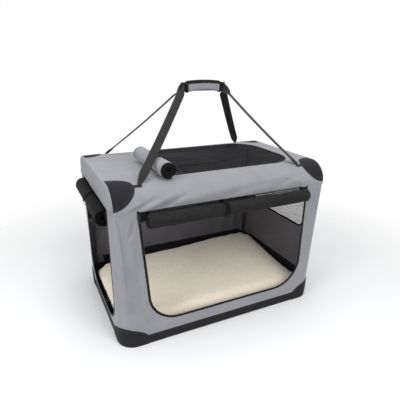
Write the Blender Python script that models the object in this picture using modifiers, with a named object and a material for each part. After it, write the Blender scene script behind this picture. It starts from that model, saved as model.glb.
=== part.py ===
"""Soft folding dog crate, in metres.

The origin is the middle of the underside. +X runs along the crate's long side, -Y is the front
with the wide doorway, and +Z is up. A fabric cover hangs on a folding steel frame: a ring in the
base, two rails under the top, and at each end a hoop in two halves with knees that fold inward.
"""

import math

import bmesh
import bpy
from mathutils import Matrix, Vector

# The cover
LENGTH = 0.762
WIDTH = 0.508
HEIGHT = 0.540
CLOTH = 0.0015
GAP = 0.0003
COVER_DROP = 0.075
TOP_EDGE_R = 0.070
END_SEAM_R = 0.006
CORNER_R_TOP = 0.012
CORNER_R_BASE = 0.055
CORNER_POWER = 1.2
WALL_ROW_SHARES = (0, 0.1, 0.3, 0.6, 0.85, 1)
BAND_H = 0.034
BAND_T = 0.002
CUT_OVERRUN = 0.010

# Doorways, windows and their bindings
DOOR_MARGIN = 0.079
END_DOOR_MARGIN = 0.069
DOOR_SILL = 0.080
END_DOOR_SILL = 0.050
DOOR_R = 0.100
DOOR_LEAN = 0.022
BINDING_W = 0.009
BINDING_T = 0.003
MESH_T = 0.0008
WINDOW_HEAD_DROP = 0.025
WINDOW_DEPTH = 0.175
WINDOW_R = 0.030
REAR_WINDOW_MARGIN = 0.091
END_WINDOW_MARGIN = 0.084
TOP_WINDOW_MARGIN_LEFT = 0.206
TOP_WINDOW_MARGIN_RIGHT = 0.071
TOP_WINDOW_MARGIN_Y = 0.082
TOP_WINDOW_R_LEFT = 0.012
TOP_WINDOW_R_RIGHT = 0.100

# Corner guards
GUARD_T = 0.0015
TOP_GUARD_REACH = 0.072
TOP_GUARD_HALF = 0.058
TOP_GUARD_TILT = math.radians(29)
TOP_GUARD_ON_TOP = 0.040
BASE_GUARD_H = 0.075
BASE_GUARD_REACH = 0.078
BASE_GUARD_GAP = 0.0009

# Steel frame
TUBE_R = 0.006
TUBE_BEND_R = 0.045
BASE_BEND_R = 0.030
TUBE_SPACE = 0.002
KNEE_OFFSET = 0.012
BAR_TO_RING = 0.014
LEG_TO_RING = 0.023
PIN_R = 0.003
EYE_R = 0.0055
EYE_T = 0.004
EYE_H = 0.020
HUB_T = 0.0015
HUB_BELOW = 0.030
HUB_ABOVE = 0.012
CUP_R = 0.0070
CUP_H = 0.0060
BUTTON_R = 0.0045
BUTTON_LENGTH = 0.0060
BUTTON_TRAVEL = 0.0020
CUP_FLOOR = 0.0006
FITTING_WALL = 0.0022
FITTING_LENGTH = 0.020
FITTING_REACH = 0.023
SOCKET_SET_BACK = 0.015
RAIL_MARGIN = 0.074
CLIP_LENGTH = 0.024
CLIP_WALL = 0.0025

# Fleece mat
MAT_MARGIN_X = 0.036
MAT_MARGIN_Y = 0.043
MAT_T = 0.060
MAT_CROWN = 0.010
MAT_R = 0.045
MAT_SIDE_IN = 0.004
MAT_COLUMNS = 14
MAT_LINES = 10

# Rolled doors and flap: one sheet wound in a spiral
ROLL_R = 0.023
ROLL_SHEET = 0.0024
ROLL_PITCH = 0.0034
ROLL_CORE_R = 0.006
ROLL_TAIL = 0.026
ROLL_INSET = 0.018
DOOR_ROLL_DROP = 0.021
END_ROLL_R = 0.028
END_ROLL_INSET = 0.006
END_ROLL_DROP = 0.0287
END_ROLL_TAIL = 0.0335
END_ROLL_LEAVE = math.radians(30.8)
END_ROLL_OUT = 0.008
FLAP_ROLL_R = 0.026
FLAP_ROLL_FRONT = 0.036
FLAP_ROLL_REAR = 0.186
FLAP_ROLL_BACK = 0.020
TIE_T = 0.0012
TIE_W = 0.015
FRONT_TIE_X = -0.036
FLAP_TIE_Y = -0.055
TIE_WRAP = math.radians(305)

# Carry straps and handle
STRAP_W = 0.026
STRAP_T = 0.0018
ANCHOR_MARGIN = 0.096
ANCHOR_W = 0.034
ANCHOR_LOW_ANGLE = math.radians(43)
ANCHOR_HIGH_ANGLE = math.radians(19)
STRAP_FOOT_ANGLE = math.radians(40)
STRAP_RISE_ANGLE = math.radians(22)
STRAP_TWIST_LENGTH = 0.035
STRAP_TWIST_STEPS = 5
STRAP_LEAD = 0.010
HANDLE_X = 0.020
HANDLE_RISE = 0.250
HANDLE_LENGTH = 0.137
HANDLE_HALF_Y = 0.009
HANDLE_HALF_Z = 0.0175
HANDLE_R = 0.007
HANDLE_CLEARANCE = 0.0008

# Zip sliders
SLIDER_W = 0.009
SLIDER_L = 0.012
SLIDER_T = 0.0035
PULL_W = 0.005
PULL_L = 0.020
PULL_T = 0.0012
SLIDER_DROP = 0.013
FLAP_SLIDER_START = 0.020

# Steps of the round shapes
SHARP_ANGLE = math.radians(40)
TUBE_STEPS = 5
ARC_STEPS = 7
SPIRAL_STEPS = 16
FINE_STEPS = 10

# Sizes that follow from those above
HALF_X = LENGTH / 2
HALF_Y = WIDTH / 2
WALL_TOP = HEIGHT - COVER_DROP
DOOR_HALF = HALF_X - DOOR_MARGIN
END_DOOR_HALF = HALF_Y - END_DOOR_MARGIN
WINDOW_HEAD = WALL_TOP - WINDOW_HEAD_DROP
WINDOW_SILL = WINDOW_HEAD - WINDOW_DEPTH
REAR_WINDOW_HALF = HALF_X - REAR_WINDOW_MARGIN
END_WINDOW_HALF = HALF_Y - END_WINDOW_MARGIN
TOP_WINDOW_LEFT = TOP_WINDOW_MARGIN_LEFT - HALF_X
TOP_WINDOW_RIGHT = HALF_X - TOP_WINDOW_MARGIN_RIGHT
TOP_WINDOW_HALF_Y = HALF_Y - TOP_WINDOW_MARGIN_Y
RAIL_Y = HALF_Y - RAIL_MARGIN
MAT_HALF_X = HALF_X - MAT_MARGIN_X
MAT_HALF_Y = HALF_Y - MAT_MARGIN_Y
DOOR_ROLL_Z = WALL_TOP - DOOR_ROLL_DROP
END_ROLL_Z = WALL_TOP - END_ROLL_DROP
FLAP_ROLL_HALF = HALF_Y - (FLAP_ROLL_FRONT + FLAP_ROLL_REAR) / 2
FLAP_ROLL_Y = (FLAP_ROLL_FRONT - FLAP_ROLL_REAR) / 2
ANCHOR_X = HALF_X - ANCHOR_MARGIN
HANDLE_Z = HEIGHT + HANDLE_RISE
ROUND_Y = HALF_Y - TOP_EDGE_R
ROUND_Z = HEIGHT - TOP_EDGE_R
RING_INSET = BAND_T + GAP + TUBE_R
RING_Z = CLOTH + GAP + TUBE_R
PIVOT_X = HALF_X - RING_INSET - BAR_TO_RING
LEG_Y = HALF_Y - RING_INSET - LEG_TO_RING
BASE_PIVOT_Z = RING_Z + TUBE_R + TUBE_SPACE + TUBE_R
TOP_PIVOT_Z = HEIGHT - CLOTH - 3 * GAP - FITTING_WALL - GAP - TUBE_R
KNEE_Z = (BASE_PIVOT_Z + TOP_PIVOT_Z) / 2
CHANNEL_R = TUBE_R + GAP
BINDING_MID_Y = HALF_Y - CLOTH / 2
BINDING_MID_X = HALF_X - CLOTH / 2
ROLL_BACK = GAP + TIE_T + GAP

parts = bpy.data.collections.new("soft_folding_dog_crate")
cutters = bpy.data.collections.new("cutters")

# Turns of a flat outline, whose own x and y become the two named axes
IN_XY = Matrix.Identity(3)
IN_YZ = Matrix(((0, 0, 1), (1, 0, 0), (0, 1, 0)))
IN_XZ = Matrix(((1, 0, 0), (0, 0, -1), (0, 1, 0)))

# Finishes: colour, roughness and metallic
GREY_CLOTH = ((0.42, 0.42, 0.45), 0.85, 0.0)
DARK_CLOTH = ((0.045, 0.043, 0.050), 0.85, 0.0)
BLACK_CLOTH = ((0.022, 0.021, 0.022), 0.85, 0.0)
WEBBING = ((0.030, 0.028, 0.027), 0.70, 0.0)
FLEECE = ((0.78, 0.70, 0.58), 0.95, 0.0)
STEEL = ((0.10, 0.10, 0.11), 0.40, 0.8)
BLACK_MOULDING = ((0.030, 0.030, 0.030), 0.50, 0.0)
GREY_MOULDING = ((0.30, 0.30, 0.31), 0.45, 0.0)
ZIP_METAL = ((0.030, 0.030, 0.030), 0.40, 0.6)


def clear_scene():
    for old in list(bpy.data.objects):
        bpy.data.objects.remove(old)
    bpy.context.scene.collection.children.link(parts)
    bpy.context.scene.collection.children.link(cutters)


def material(name, finish):
    colour, roughness, metallic = finish
    new = bpy.data.materials.new(name)
    new.use_nodes = True
    shader = new.node_tree.nodes["Principled BSDF"]
    shader.inputs["Base Color"].default_value = (*colour, 1.0)
    shader.inputs["Roughness"].default_value = roughness
    shader.inputs["Metallic"].default_value = metallic
    return new


def add_part(name, data, finish):
    """Links a mesh or curve as a part with its own material."""
    part = bpy.data.objects.new(name, data)
    parts.objects.link(part)
    part.data.materials.append(material(name, finish))
    if part.type == "MESH":
        part.data.shade_smooth()
        part.data.set_sharp_from_angle(angle=SHARP_ANGLE)
    return part


def add_cutter(name, data):
    cutter = bpy.data.objects.new(name, data)
    cutters.objects.link(cutter)
    cutter.hide_render = True
    cutter.display_type = "WIRE"
    return cutter


def boolean(part, other, operation="DIFFERENCE"):
    step = part.modifiers.new(other.name, "BOOLEAN")
    step.operation = operation
    step.solver = "EXACT"
    step.object = other
    return part


# Shapes that return mesh or curve data


def box_mesh(name, low, high):
    mesh = bpy.data.meshes.new(name)
    shape = bmesh.new()
    bmesh.ops.create_cube(shape, size=1.0)
    low, high = Vector(low), Vector(high)
    size = high - low
    bmesh.ops.scale(shape, vec=size, verts=shape.verts)
    bmesh.ops.translate(shape, vec=(low + high) / 2, verts=shape.verts)
    shape.to_mesh(mesh)
    shape.free()
    return mesh


def span_mesh(name, xs, ys, zs):
    """A box between two values along each axis, in either order."""
    spans = [sorted(pair) for pair in (xs, ys, zs)]
    return box_mesh(name, [low for low, _ in spans], [high for _, high in spans])


def cylinder_mesh(name, radius, length, centre, axis, steps=16, wide=1.0):
    """A cylinder along axis; wide stretches it sideways along X first, into an ellipse."""
    mesh = bpy.data.meshes.new(name)
    shape = bmesh.new()
    bmesh.ops.create_cone(shape, cap_ends=True, segments=steps, radius1=radius, radius2=radius,
                          depth=length)
    bmesh.ops.scale(shape, vec=(wide, 1.0, 1.0), verts=shape.verts)
    turn = Vector((0, 0, 1)).rotation_difference(Vector(axis)).to_matrix()
    bmesh.ops.rotate(shape, matrix=turn, verts=shape.verts)
    bmesh.ops.translate(shape, vec=Vector(centre), verts=shape.verts)
    shape.to_mesh(mesh)
    shape.free()
    return mesh


def cross_cylinder(name, radius, length, x, y, z):
    """A cylinder along Y."""
    return cylinder_mesh(name, radius, length, (x, y, z), (0, 1, 0))


def outline_curve(name, loops, thickness):
    """A flat outline with holes, as a filled 2D curve thickened about its plane."""
    curve = bpy.data.curves.new(name, "CURVE")
    curve.dimensions = "2D"
    curve.fill_mode = "BOTH"
    curve.extrude = thickness / 2
    for loop in loops:
        spline = curve.splines.new("POLY")
        spline.points.add(len(loop) - 1)
        spline.use_cyclic_u = True
        for point, (x, y) in zip(spline.points, loop):
            point.co = (x, y, 0, 1)
    return curve


def tube_curve(name, points, radius=TUBE_R, closed=False):
    curve = bpy.data.curves.new(name, "CURVE")
    curve.dimensions = "3D"
    curve.bevel_depth = radius
    curve.bevel_resolution = 2
    curve.use_fill_caps = not closed
    spline = curve.splines.new("POLY")
    spline.points.add(len(points) - 1)
    spline.use_cyclic_u = closed
    for point, place in zip(spline.points, points):
        point.co = (*place, 1)
    return curve


def as_mesh(curve, turn=IN_XY, centre=(0, 0, 0)):
    """The closed mesh of a curve, turned and moved, with its caps welded on."""
    holder = bpy.data.objects.new(curve.name, curve)
    parts.objects.link(holder)
    bpy.context.view_layer.update()
    mesh = bpy.data.meshes.new_from_object(holder.evaluated_get(bpy.context.evaluated_depsgraph_get()))
    bpy.data.objects.remove(holder)
    shape = bmesh.new()
    shape.from_mesh(mesh)
    bmesh.ops.remove_doubles(shape, verts=shape.verts, dist=GAP / 10)
    bmesh.ops.transform(shape, matrix=turn.to_4x4(), verts=shape.verts)
    bmesh.ops.translate(shape, vec=Vector(centre), verts=shape.verts)
    bmesh.ops.recalc_face_normals(shape, faces=shape.faces)
    shape.to_mesh(mesh)
    shape.free()
    return mesh


def place(part, turn=IN_XY, centre=(0, 0, 0)):
    part.matrix_world = Matrix.Translation(Vector(centre)) @ turn.to_4x4()
    return part


def grid_mesh(name, rows, outward):
    """An open sheet through rows of points, facing the side that outward points to."""
    mesh = bpy.data.meshes.new(name)
    shape = bmesh.new()
    lines = [[shape.verts.new(point) for point in row] for row in rows]
    for upper, lower in zip(lines[1:], lines):
        for n in range(len(lower) - 1):
            shape.faces.new((lower[n], lower[n + 1], upper[n + 1], upper[n]))
    shape.normal_update()
    if sum(face.normal.dot(Vector(outward)) for face in shape.faces) < 0:
        bmesh.ops.reverse_faces(shape, faces=shape.faces)
    shape.to_mesh(mesh)
    shape.free()
    return mesh


def strip_mesh(name, stations, thickness):
    """A closed flat strap through stations of (centre, half width vector)."""
    mesh = bpy.data.meshes.new(name)
    shape = bmesh.new()
    rings = []
    for n, (centre, half) in enumerate(stations):
        before = stations[max(n - 1, 0)][0]
        after = stations[min(n + 1, len(stations) - 1)][0]
        proud = (after - before).cross(half).normalized() * thickness / 2
        corners = (centre - half - proud, centre + half - proud,
                   centre + half + proud, centre - half + proud)
        rings.append([shape.verts.new(corner) for corner in corners])
    for ring, further in zip(rings, rings[1:]):
        for n in range(4):
            m = (n + 1) % 4
            shape.faces.new((ring[n], ring[m], further[m]))
            shape.faces.new((ring[n], further[m], further[n]))
    shape.faces.new(rings[0])
    shape.faces.new(rings[-1])
    bmesh.ops.recalc_face_normals(shape, faces=shape.faces)
    shape.to_mesh(mesh)
    shape.free()
    return mesh


# Outlines


def arc(centre, radius, start, end, steps=ARC_STEPS):
    turns = (start + (end - start) * n / steps for n in range(steps + 1))
    return [(centre[0] + radius * math.cos(t), centre[1] + radius * math.sin(t)) for t in turns]


def rounded_box(left, right, low, high, r_left, r_right=None):
    """A rectangle whose left and right corners have their own radii."""
    r_right = r_left if r_right is None else r_right
    quarter = math.pi / 2
    return (arc((right - r_right, low + r_right), r_right, -quarter, 0)
            + arc((right - r_right, high - r_right), r_right, 0, quarter)
            + arc((left + r_left, high - r_left), r_left, quarter, 2 * quarter)
            + arc((left + r_left, low + r_left), r_left, 2 * quarter, 3 * quarter))


def doorway(half, sill, radius, head, lean=0.0):
    """Down the left side, which leans in by lean, round two bottom corners and up the right side."""
    quarter = math.pi / 2
    left = lean + radius - half
    past = lean * (head - WALL_TOP) / (WALL_TOP - sill - radius)
    return ([(-half - past, head)] + arc((left, sill + radius), radius, 2 * quarter, 3 * quarter)
            + arc((half - radius, sill + radius), radius, 3 * quarter, 4 * quarter)
            + [(half, head)])


def top_line(offset, flat, end_angle, tail=0.0, steps=ARC_STEPS, start=0.0):
    """The cover's line over its front edge, moved out by offset, from the flat top to end_angle.

    Each point is (distance out from the middle plane, height)."""
    radius = TOP_EDGE_R + offset
    points = [(ROUND_Y - flat, ROUND_Z + radius)] if flat else []
    for n in range(steps + 1):
        angle = start + (end_angle - start) * n / steps
        points.append((ROUND_Y + radius * math.sin(angle), ROUND_Z + radius * math.cos(angle)))
    if tail:
        points.append((HALF_Y + offset, ROUND_Z - tail))
    return points


def end_section(inset, low):
    """The cover's section across the crate, inset from its outer faces, open end at low."""
    radius = TOP_EDGE_R - inset
    right = [(ROUND_Y + radius * math.cos(math.pi / 2 * n / FINE_STEPS),
              ROUND_Z + radius * math.sin(math.pi / 2 * n / FINE_STEPS))
             for n in range(FINE_STEPS + 1)]
    left = [(-y, z) for y, z in reversed(right)]
    return [(HALF_Y - inset, low)] + right + left + [(-HALF_Y + inset, low)]


# The cover's walls: plan corners open out from the end seam at the top to the base


def corner_radius(z):
    share = min(max(z / WALL_TOP, 0.0), 1.0)
    return CORNER_R_BASE + (CORNER_R_TOP - CORNER_R_BASE) * share ** CORNER_POWER


def round_corner(z, along, offset=0.0):
    """A point on the walls near the +X +Y corner, along metres past the corner's middle."""
    radius = corner_radius(z)
    reach = radius * math.pi / 4
    turn = math.pi / 4 + max(-reach, min(reach, along)) / radius
    beyond = max(abs(along) - reach, 0.0)
    x = HALF_X - radius + (radius + offset) * math.cos(turn)
    y = HALF_Y - radius + (radius + offset) * math.sin(turn)
    return (x - beyond, y) if along > 0 else (x, y - beyond)


def wall_rows(long_side):
    """Rows of points from seam to seam, for the wall at +Y if long_side, else at +X."""
    steps = 3
    heights = [BAND_H + GAP + (WALL_TOP - BAND_H - GAP) * share for share in WALL_ROW_SHARES]
    rows = []
    for z in heights:
        reach = corner_radius(z) * math.pi / 4
        alongs = [GAP + (reach - GAP) * n / steps for n in range(steps + 1)]
        if long_side:
            half = [(*round_corner(z, along), z) for along in alongs]
            rows.append([(-x, y, z) for x, y, z in half] + half[::-1])
        else:
            half = [(*round_corner(z, -along), z) for along in alongs]
            rows.append([(x, -y, z) for x, y, z in half] + half[::-1])
    return rows


def add_wall(name, long_side, side, outline):
    """A wall panel with its opening, cut by the outline in the wall's own plane."""
    rows = wall_rows(long_side)
    if long_side:
        rows = [[(x, side * y, z) for x, y, z in row] for row in rows]
        outward, turn = (0, side, 0), IN_XZ
        centre = (0, side * HALF_Y, 0)
    else:
        rows = [[(side * x, y, z) for x, y, z in row] for row in rows]
        outward, turn = (side, 0, 0), IN_YZ
        centre = (side * HALF_X, 0, 0)
    wall = add_part(name, grid_mesh(name, rows, outward), GREY_CLOTH)
    sheet = wall.modifiers.new("cloth", "SOLIDIFY")
    sheet.thickness = CLOTH
    sheet.offset = -1
    opening = as_mesh(outline_curve(name + "_opening", [outline], 2 * CUT_OVERRUN), turn, centre)
    return boolean(wall, add_cutter(name + "_opening", opening))


def add_flat(name, loops, thickness, turn, centre, finish):
    return place(add_part(name, outline_curve(name, loops, thickness), finish), turn, centre)


def add_walls():
    band = GAP + BINDING_W
    over = WALL_TOP + CUT_OVERRUN
    front_cut = doorway(DOOR_HALF + band, DOOR_SILL - band, DOOR_R + band, over, DOOR_LEAN)
    end_cut = doorway(END_DOOR_HALF + band, END_DOOR_SILL - band, DOOR_R + band, over)
    add_wall("front_wall", True, -1, front_cut)
    add_wall("left_wall", False, -1, end_cut)
    add_wall("rear_wall", True, 1, window(REAR_WINDOW_HALF, band))
    add_wall("right_wall", False, 1, window(END_WINDOW_HALF, band))
    add_doorway_binding("front_door_binding", DOOR_HALF, DOOR_SILL, DOOR_LEAN, IN_XZ,
                        (0, -BINDING_MID_Y, 0))
    add_doorway_binding("left_door_binding", END_DOOR_HALF, END_DOOR_SILL, 0, IN_YZ,
                        (-BINDING_MID_X, 0, 0))
    add_window("rear_window", REAR_WINDOW_HALF, IN_XZ, (0, BINDING_MID_Y, 0))
    add_window("right_window", END_WINDOW_HALF, IN_YZ, (BINDING_MID_X, 0, 0))


def window(half, grow):
    low, high = WINDOW_SILL - grow, WINDOW_HEAD + grow
    return rounded_box(-half - grow, half + grow, low, high, WINDOW_R + grow)


def add_doorway_binding(name, half, sill, lean, turn, centre):
    outer = doorway(half + BINDING_W, sill - BINDING_W, DOOR_R + BINDING_W, WALL_TOP, lean)
    inner = doorway(half, sill, DOOR_R, WALL_TOP, lean)
    add_flat(name, [outer + inner[::-1]], BINDING_T, turn, centre, BLACK_CLOTH)


def add_window(name, half, turn, centre):
    frame = [window(half, BINDING_W), window(half, 0)]
    add_flat(name + "_binding", frame, BINDING_T, turn, centre, BLACK_CLOTH)
    add_flat(name + "_mesh", [window(half, -GAP)], MESH_T, turn, centre, BLACK_CLOTH)


# The base


def plan_outline(inset):
    radius = CORNER_R_BASE - inset
    return rounded_box(inset - HALF_X, HALF_X - inset, inset - HALF_Y, HALF_Y - inset, radius)


def add_base():
    add_flat("floor_panel", [plan_outline(BAND_T + GAP)], CLOTH, IN_XY, (0, 0, CLOTH / 2), DARK_CLOTH)
    band = [plan_outline(0), plan_outline(BAND_T)]
    add_flat("base_band", band, BAND_H, IN_XY, (0, 0, BAND_H / 2), DARK_CLOTH)
    for end, x in (("left", -1), ("right", 1)):
        for side, y in (("front", -1), ("rear", 1)):
            add_base_guard(f"base_guard_{side}_{end}", x, y)


def add_base_guard(name, x_side, y_side):
    """A guard wrapped round a bottom corner, higher at the corner than at its ends."""
    columns = 2 * ARC_STEPS
    rows = []
    for level in range(3):
        row = []
        for n in range(columns + 1):
            share = 2 * n / columns - 1
            top = BAND_H + (BASE_GUARD_H - BAND_H) * math.sqrt(max(1 - share * share, 0))
            z = top * level / 2
            x, y = round_corner(z, share * BASE_GUARD_REACH, BASE_GUARD_GAP)
            row.append((x_side * x, y_side * y, z))
        rows.append(row)
    guard = add_part(name, grid_mesh(name, rows, (x_side, y_side, 0)), DARK_CLOTH)
    sheet = guard.modifiers.new("cloth", "SOLIDIFY")
    sheet.thickness = GUARD_T
    sheet.offset = 1


def mat_height(x_share, y_share):
    crown = (1 - x_share ** 4) * (1 - y_share ** 4)
    return CLOTH + GAP + MAT_T + MAT_CROWN * crown


def mat_ring(shape, rim, grow, height):
    """The rim's points again, moved out by grow, at another height."""
    wider, deeper = 1 + grow / MAT_HALF_X, 1 + grow / MAT_HALF_Y
    return [shape.verts.new((vert.co.x * wider, vert.co.y * deeper, height)) for vert in rim]


def add_mat():
    """The fleece mat: a crowned pad whose sides draw in above and below a seam at mid height."""
    shape = bmesh.new()
    across = [2 * n / MAT_COLUMNS - 1 for n in range(MAT_COLUMNS + 1)]
    up = [2 * n / MAT_LINES - 1 for n in range(MAT_LINES + 1)]
    top = [[shape.verts.new((*round_off(x, y), mat_height(x, y))) for x in across] for y in up]
    for line, further in zip(top, top[1:]):
        for n in range(MAT_COLUMNS):
            shape.faces.new((line[n], line[n + 1], further[n + 1], further[n]))
    rim = top[0][:-1] + [line[-1] for line in top[:-1]]
    rim += top[-1][:0:-1] + [line[0] for line in top[:0:-1]]
    base = CLOTH + GAP
    seam = mat_ring(shape, rim, MAT_SIDE_IN, base + MAT_T / 2)
    foot = mat_ring(shape, rim, 0, base)
    for upper, lower in ((rim, seam), (seam, foot)):
        for n in range(len(rim)):
            m = (n + 1) % len(rim)
            shape.faces.new((lower[n], lower[m], upper[m], upper[n]))
    shape.faces.new(foot[::-1])
    mesh = bpy.data.meshes.new("fleece_mat")
    shape.to_mesh(mesh)
    shape.free()
    add_part("fleece_mat", mesh, FLEECE)


def round_off(x_share, y_share):
    """Pulls the corners of a unit square in, so that the pad's plan has rounded corners."""
    x, y = x_share * MAT_HALF_X, y_share * MAT_HALF_Y
    past_x = abs(x) - (MAT_HALF_X - MAT_R)
    past_y = abs(y) - (MAT_HALF_Y - MAT_R)
    if past_x > 0 and past_y > 0:
        most = max(past_x, past_y)
        shrink = most / math.hypot(past_x, past_y)
        x = math.copysign(MAT_HALF_X - MAT_R + past_x * shrink, x)
        y = math.copysign(MAT_HALF_Y - MAT_R + past_y * shrink, y)
    return x, y


# The top cover and what is on it


def add_top():
    low = WALL_TOP + GAP
    outer = outline_curve("top_cover", [end_section(0, low - CUT_OVERRUN)], LENGTH)
    cover = add_part("top_cover", as_mesh(outer, IN_YZ), GREY_CLOTH)
    edge = cover.modifiers.new("end_seams", "BEVEL")
    edge.width = END_SEAM_R
    edge.segments = 2
    edge.limit_method = "ANGLE"
    edge.angle_limit = math.radians(40)
    inner = outline_curve("top_hollow", [end_section(CLOTH, low - 2 * CUT_OVERRUN)], LENGTH - 2 * CLOTH)
    boolean(cover, add_cutter("top_hollow", as_mesh(inner, IN_YZ)))
    below = box_mesh("below_top", (-LENGTH, -WIDTH, low - 3 * CUT_OVERRUN), (LENGTH, WIDTH, low))
    boolean(cover, add_cutter("below_top", below))
    hole = outline_curve("top_window_hole", [top_window(BINDING_W + GAP)], 2 * CUT_OVERRUN)
    boolean(cover, add_cutter("top_window_hole", as_mesh(hole, IN_XY, (0, 0, HEIGHT))))
    mid = (0, 0, HEIGHT - CLOTH / 2)
    frame = [top_window(BINDING_W), top_window(0)]
    add_flat("top_window_binding", frame, BINDING_T, IN_XY, mid, BLACK_CLOTH)
    add_flat("top_window_mesh", [top_window(-GAP)], MESH_T, IN_XY, mid, BLACK_CLOTH)
    for end, x in (("left", -1), ("right", 1)):
        for side, y in (("front", -1), ("rear", 1)):
            add_top_guard(f"top_guard_{side}_{end}", x, y)
            add_anchor(f"strap_anchor_{side}_{end}", x, y)


def top_window(grow):
    return rounded_box(TOP_WINDOW_LEFT - grow, TOP_WINDOW_RIGHT + grow, -TOP_WINDOW_HALF_Y - grow,
                       TOP_WINDOW_HALF_Y + grow, TOP_WINDOW_R_LEFT + grow, TOP_WINDOW_R_RIGHT + grow)


def over_edge(inner, outer, y_side):
    """A closed band over the long top edge, between two lines of top_line."""
    loop = inner + outer[::-1]
    return [(y_side * y, z) for y, z in loop]


def add_top_guard(name, x_side, y_side):
    """Half an ellipse of cloth, straight along the end seam, wrapped over the long edge."""
    tail = ROUND_Z - WALL_TOP
    inner = top_line(GAP, TOP_GUARD_ON_TOP, math.pi / 2, tail, FINE_STEPS)
    outer = top_line(GAP + GUARD_T, TOP_GUARD_ON_TOP, math.pi / 2, tail, FINE_STEPS)
    reach = TOP_GUARD_REACH + CUT_OVERRUN
    seam = HALF_X - END_SEAM_R
    band = outline_curve(name, [over_edge(inner, outer, y_side)], reach)
    guard = add_part(name, as_mesh(band, IN_YZ, (x_side * (seam - reach / 2), 0, 0)), DARK_CLOTH)
    lean = (0, y_side * math.sin(TOP_GUARD_TILT), math.cos(TOP_GUARD_TILT))
    shape = cylinder_mesh(name + "_shape", TOP_GUARD_HALF, 2 * TOP_EDGE_R,
                          Vector((x_side * seam, y_side * ROUND_Y, ROUND_Z)) + Vector(lean) * TOP_EDGE_R,
                          lean, 32, TOP_GUARD_REACH / TOP_GUARD_HALF)
    boolean(guard, add_cutter(name + "_shape", shape), "INTERSECT")


def add_anchor(name, x_side, y_side):
    """A short tab beside a top guard's tip, which carries the foot of a strap."""
    inner = top_line(GAP, 0, ANCHOR_LOW_ANGLE, start=ANCHOR_HIGH_ANGLE)
    outer = top_line(GAP + STRAP_T, 0, ANCHOR_LOW_ANGLE, start=ANCHOR_HIGH_ANGLE)
    band = outline_curve(name, [over_edge(inner, outer, y_side)], ANCHOR_W)
    place(add_part(name, band, WEBBING), IN_YZ, (x_side * ANCHOR_X, 0, 0))


# Rolled doors and flap


def leaving_point(reach, tail, leave):
    """Where a sheet that leaves a roll at the angle leave, along its tangent, gets to height tail."""
    run = (tail - reach * math.sin(leave)) / math.cos(leave)
    return (reach * math.cos(leave) - run * math.sin(leave), tail)


def spiral_section(radius, tail, leave=0.0):
    """The section of a sheet wound in a spiral, whose outer end runs straight on up to tail.

    The winding leaves the roll at the angle leave above its +x side."""
    turns = (radius - ROLL_SHEET / 2 - ROLL_CORE_R) / ROLL_PITCH
    count = round(turns * SPIRAL_STEPS)
    inner, outer = [], []
    for n in range(count + 1):
        angle = leave - 2 * math.pi * turns * (1 - n / count)
        middle = ROLL_CORE_R + ROLL_PITCH * turns * n / count
        for line, reach in ((inner, middle - ROLL_SHEET / 2), (outer, middle + ROLL_SHEET / 2)):
            line.append((reach * math.cos(angle), reach * math.sin(angle)))
    inner.append(leaving_point(radius - ROLL_SHEET, tail, leave))
    outer.append(leaving_point(radius, tail, leave))
    return inner + outer[::-1]


def add_rolls():
    out_y = HALF_Y + ROLL_BACK + ROLL_R
    out_x = HALF_X + END_ROLL_OUT
    front = spiral_section(ROLL_R, ROLL_TAIL)
    length = 2 * (DOOR_HALF - ROLL_INSET)
    add_flat("front_door_roll", [front], length, IN_YZ, (0, -out_y, DOOR_ROLL_Z), BLACK_CLOTH)
    left = spiral_section(END_ROLL_R, END_ROLL_TAIL, END_ROLL_LEAVE)
    length = 2 * (END_DOOR_HALF - END_ROLL_INSET)
    add_flat("left_door_roll", [left], length, IN_XZ, (-out_x, 0, END_ROLL_Z), BLACK_CLOTH)
    flap_z = HEIGHT + ROLL_BACK + FLAP_ROLL_R
    flap_tail = FLAP_ROLL_BACK - BINDING_W
    flap = [(y, -x) for x, y in spiral_section(FLAP_ROLL_R, flap_tail)]
    flap_x = TOP_WINDOW_LEFT - FLAP_ROLL_BACK
    place_of_flap = (flap_x, FLAP_ROLL_Y, flap_z)
    add_flat("top_flap_roll", [flap], 2 * FLAP_ROLL_HALF, IN_XZ, place_of_flap, GREY_CLOTH)
    tie = tie_section(ROLL_R, ROLL_TAIL, 0)
    add_tie("front_roll_tie", tie, IN_YZ, (FRONT_TIE_X, -out_y, DOOR_ROLL_Z))
    tie = tie_section(END_ROLL_R, END_ROLL_TAIL, END_ROLL_LEAVE)
    add_tie("left_roll_tie", tie, IN_XZ, (-out_x, 0, END_ROLL_Z))
    tie = [(y, -x) for x, y in tie_section(FLAP_ROLL_R, flap_tail, 0)]
    add_tie("top_roll_tie", tie, IN_XZ, (flap_x, FLAP_ROLL_Y + FLAP_TIE_Y, flap_z))
    print("least gap in a roll, mm:", round(1000 * (ROLL_PITCH - ROLL_SHEET), 2))


def tie_section(radius, tail, leave):
    """A loop round a roll and its tail."""
    sides = []
    for reach in (radius + GAP, radius + GAP + TIE_T):
        loop = arc((0, 0), reach, leave, leave - TIE_WRAP, 4 * ARC_STEPS)
        sides.append([leaving_point(reach, tail, leave)] + loop)
    return sides[0] + sides[1][::-1]


def add_tie(name, section, turn, centre):
    add_flat(name, [section], TIE_W, turn, centre, BLACK_CLOTH)


# Steel frame


def bend(centre, radius, start, end, place_point):
    return [place_point(*point) for point in arc(centre, radius, start, end, TUBE_STEPS)]


def hoop_points(x, leg_end, bar_z, radius):
    """Up or down one leg, round two bends and along the bar at bar_z."""
    toward = 1 if bar_z > leg_end else -1
    centre_y, centre_z = LEG_Y - radius, bar_z - toward * radius
    quarter = arc((0, 0), radius, math.pi / 2, 0, TUBE_STEPS)
    far = [(x, centre_y + dy, centre_z + toward * dz) for dy, dz in quarter] + [(x, LEG_Y, leg_end)]
    near = [(px, -py, pz) for px, py, pz in far]
    return near[::-1] + far


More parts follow.
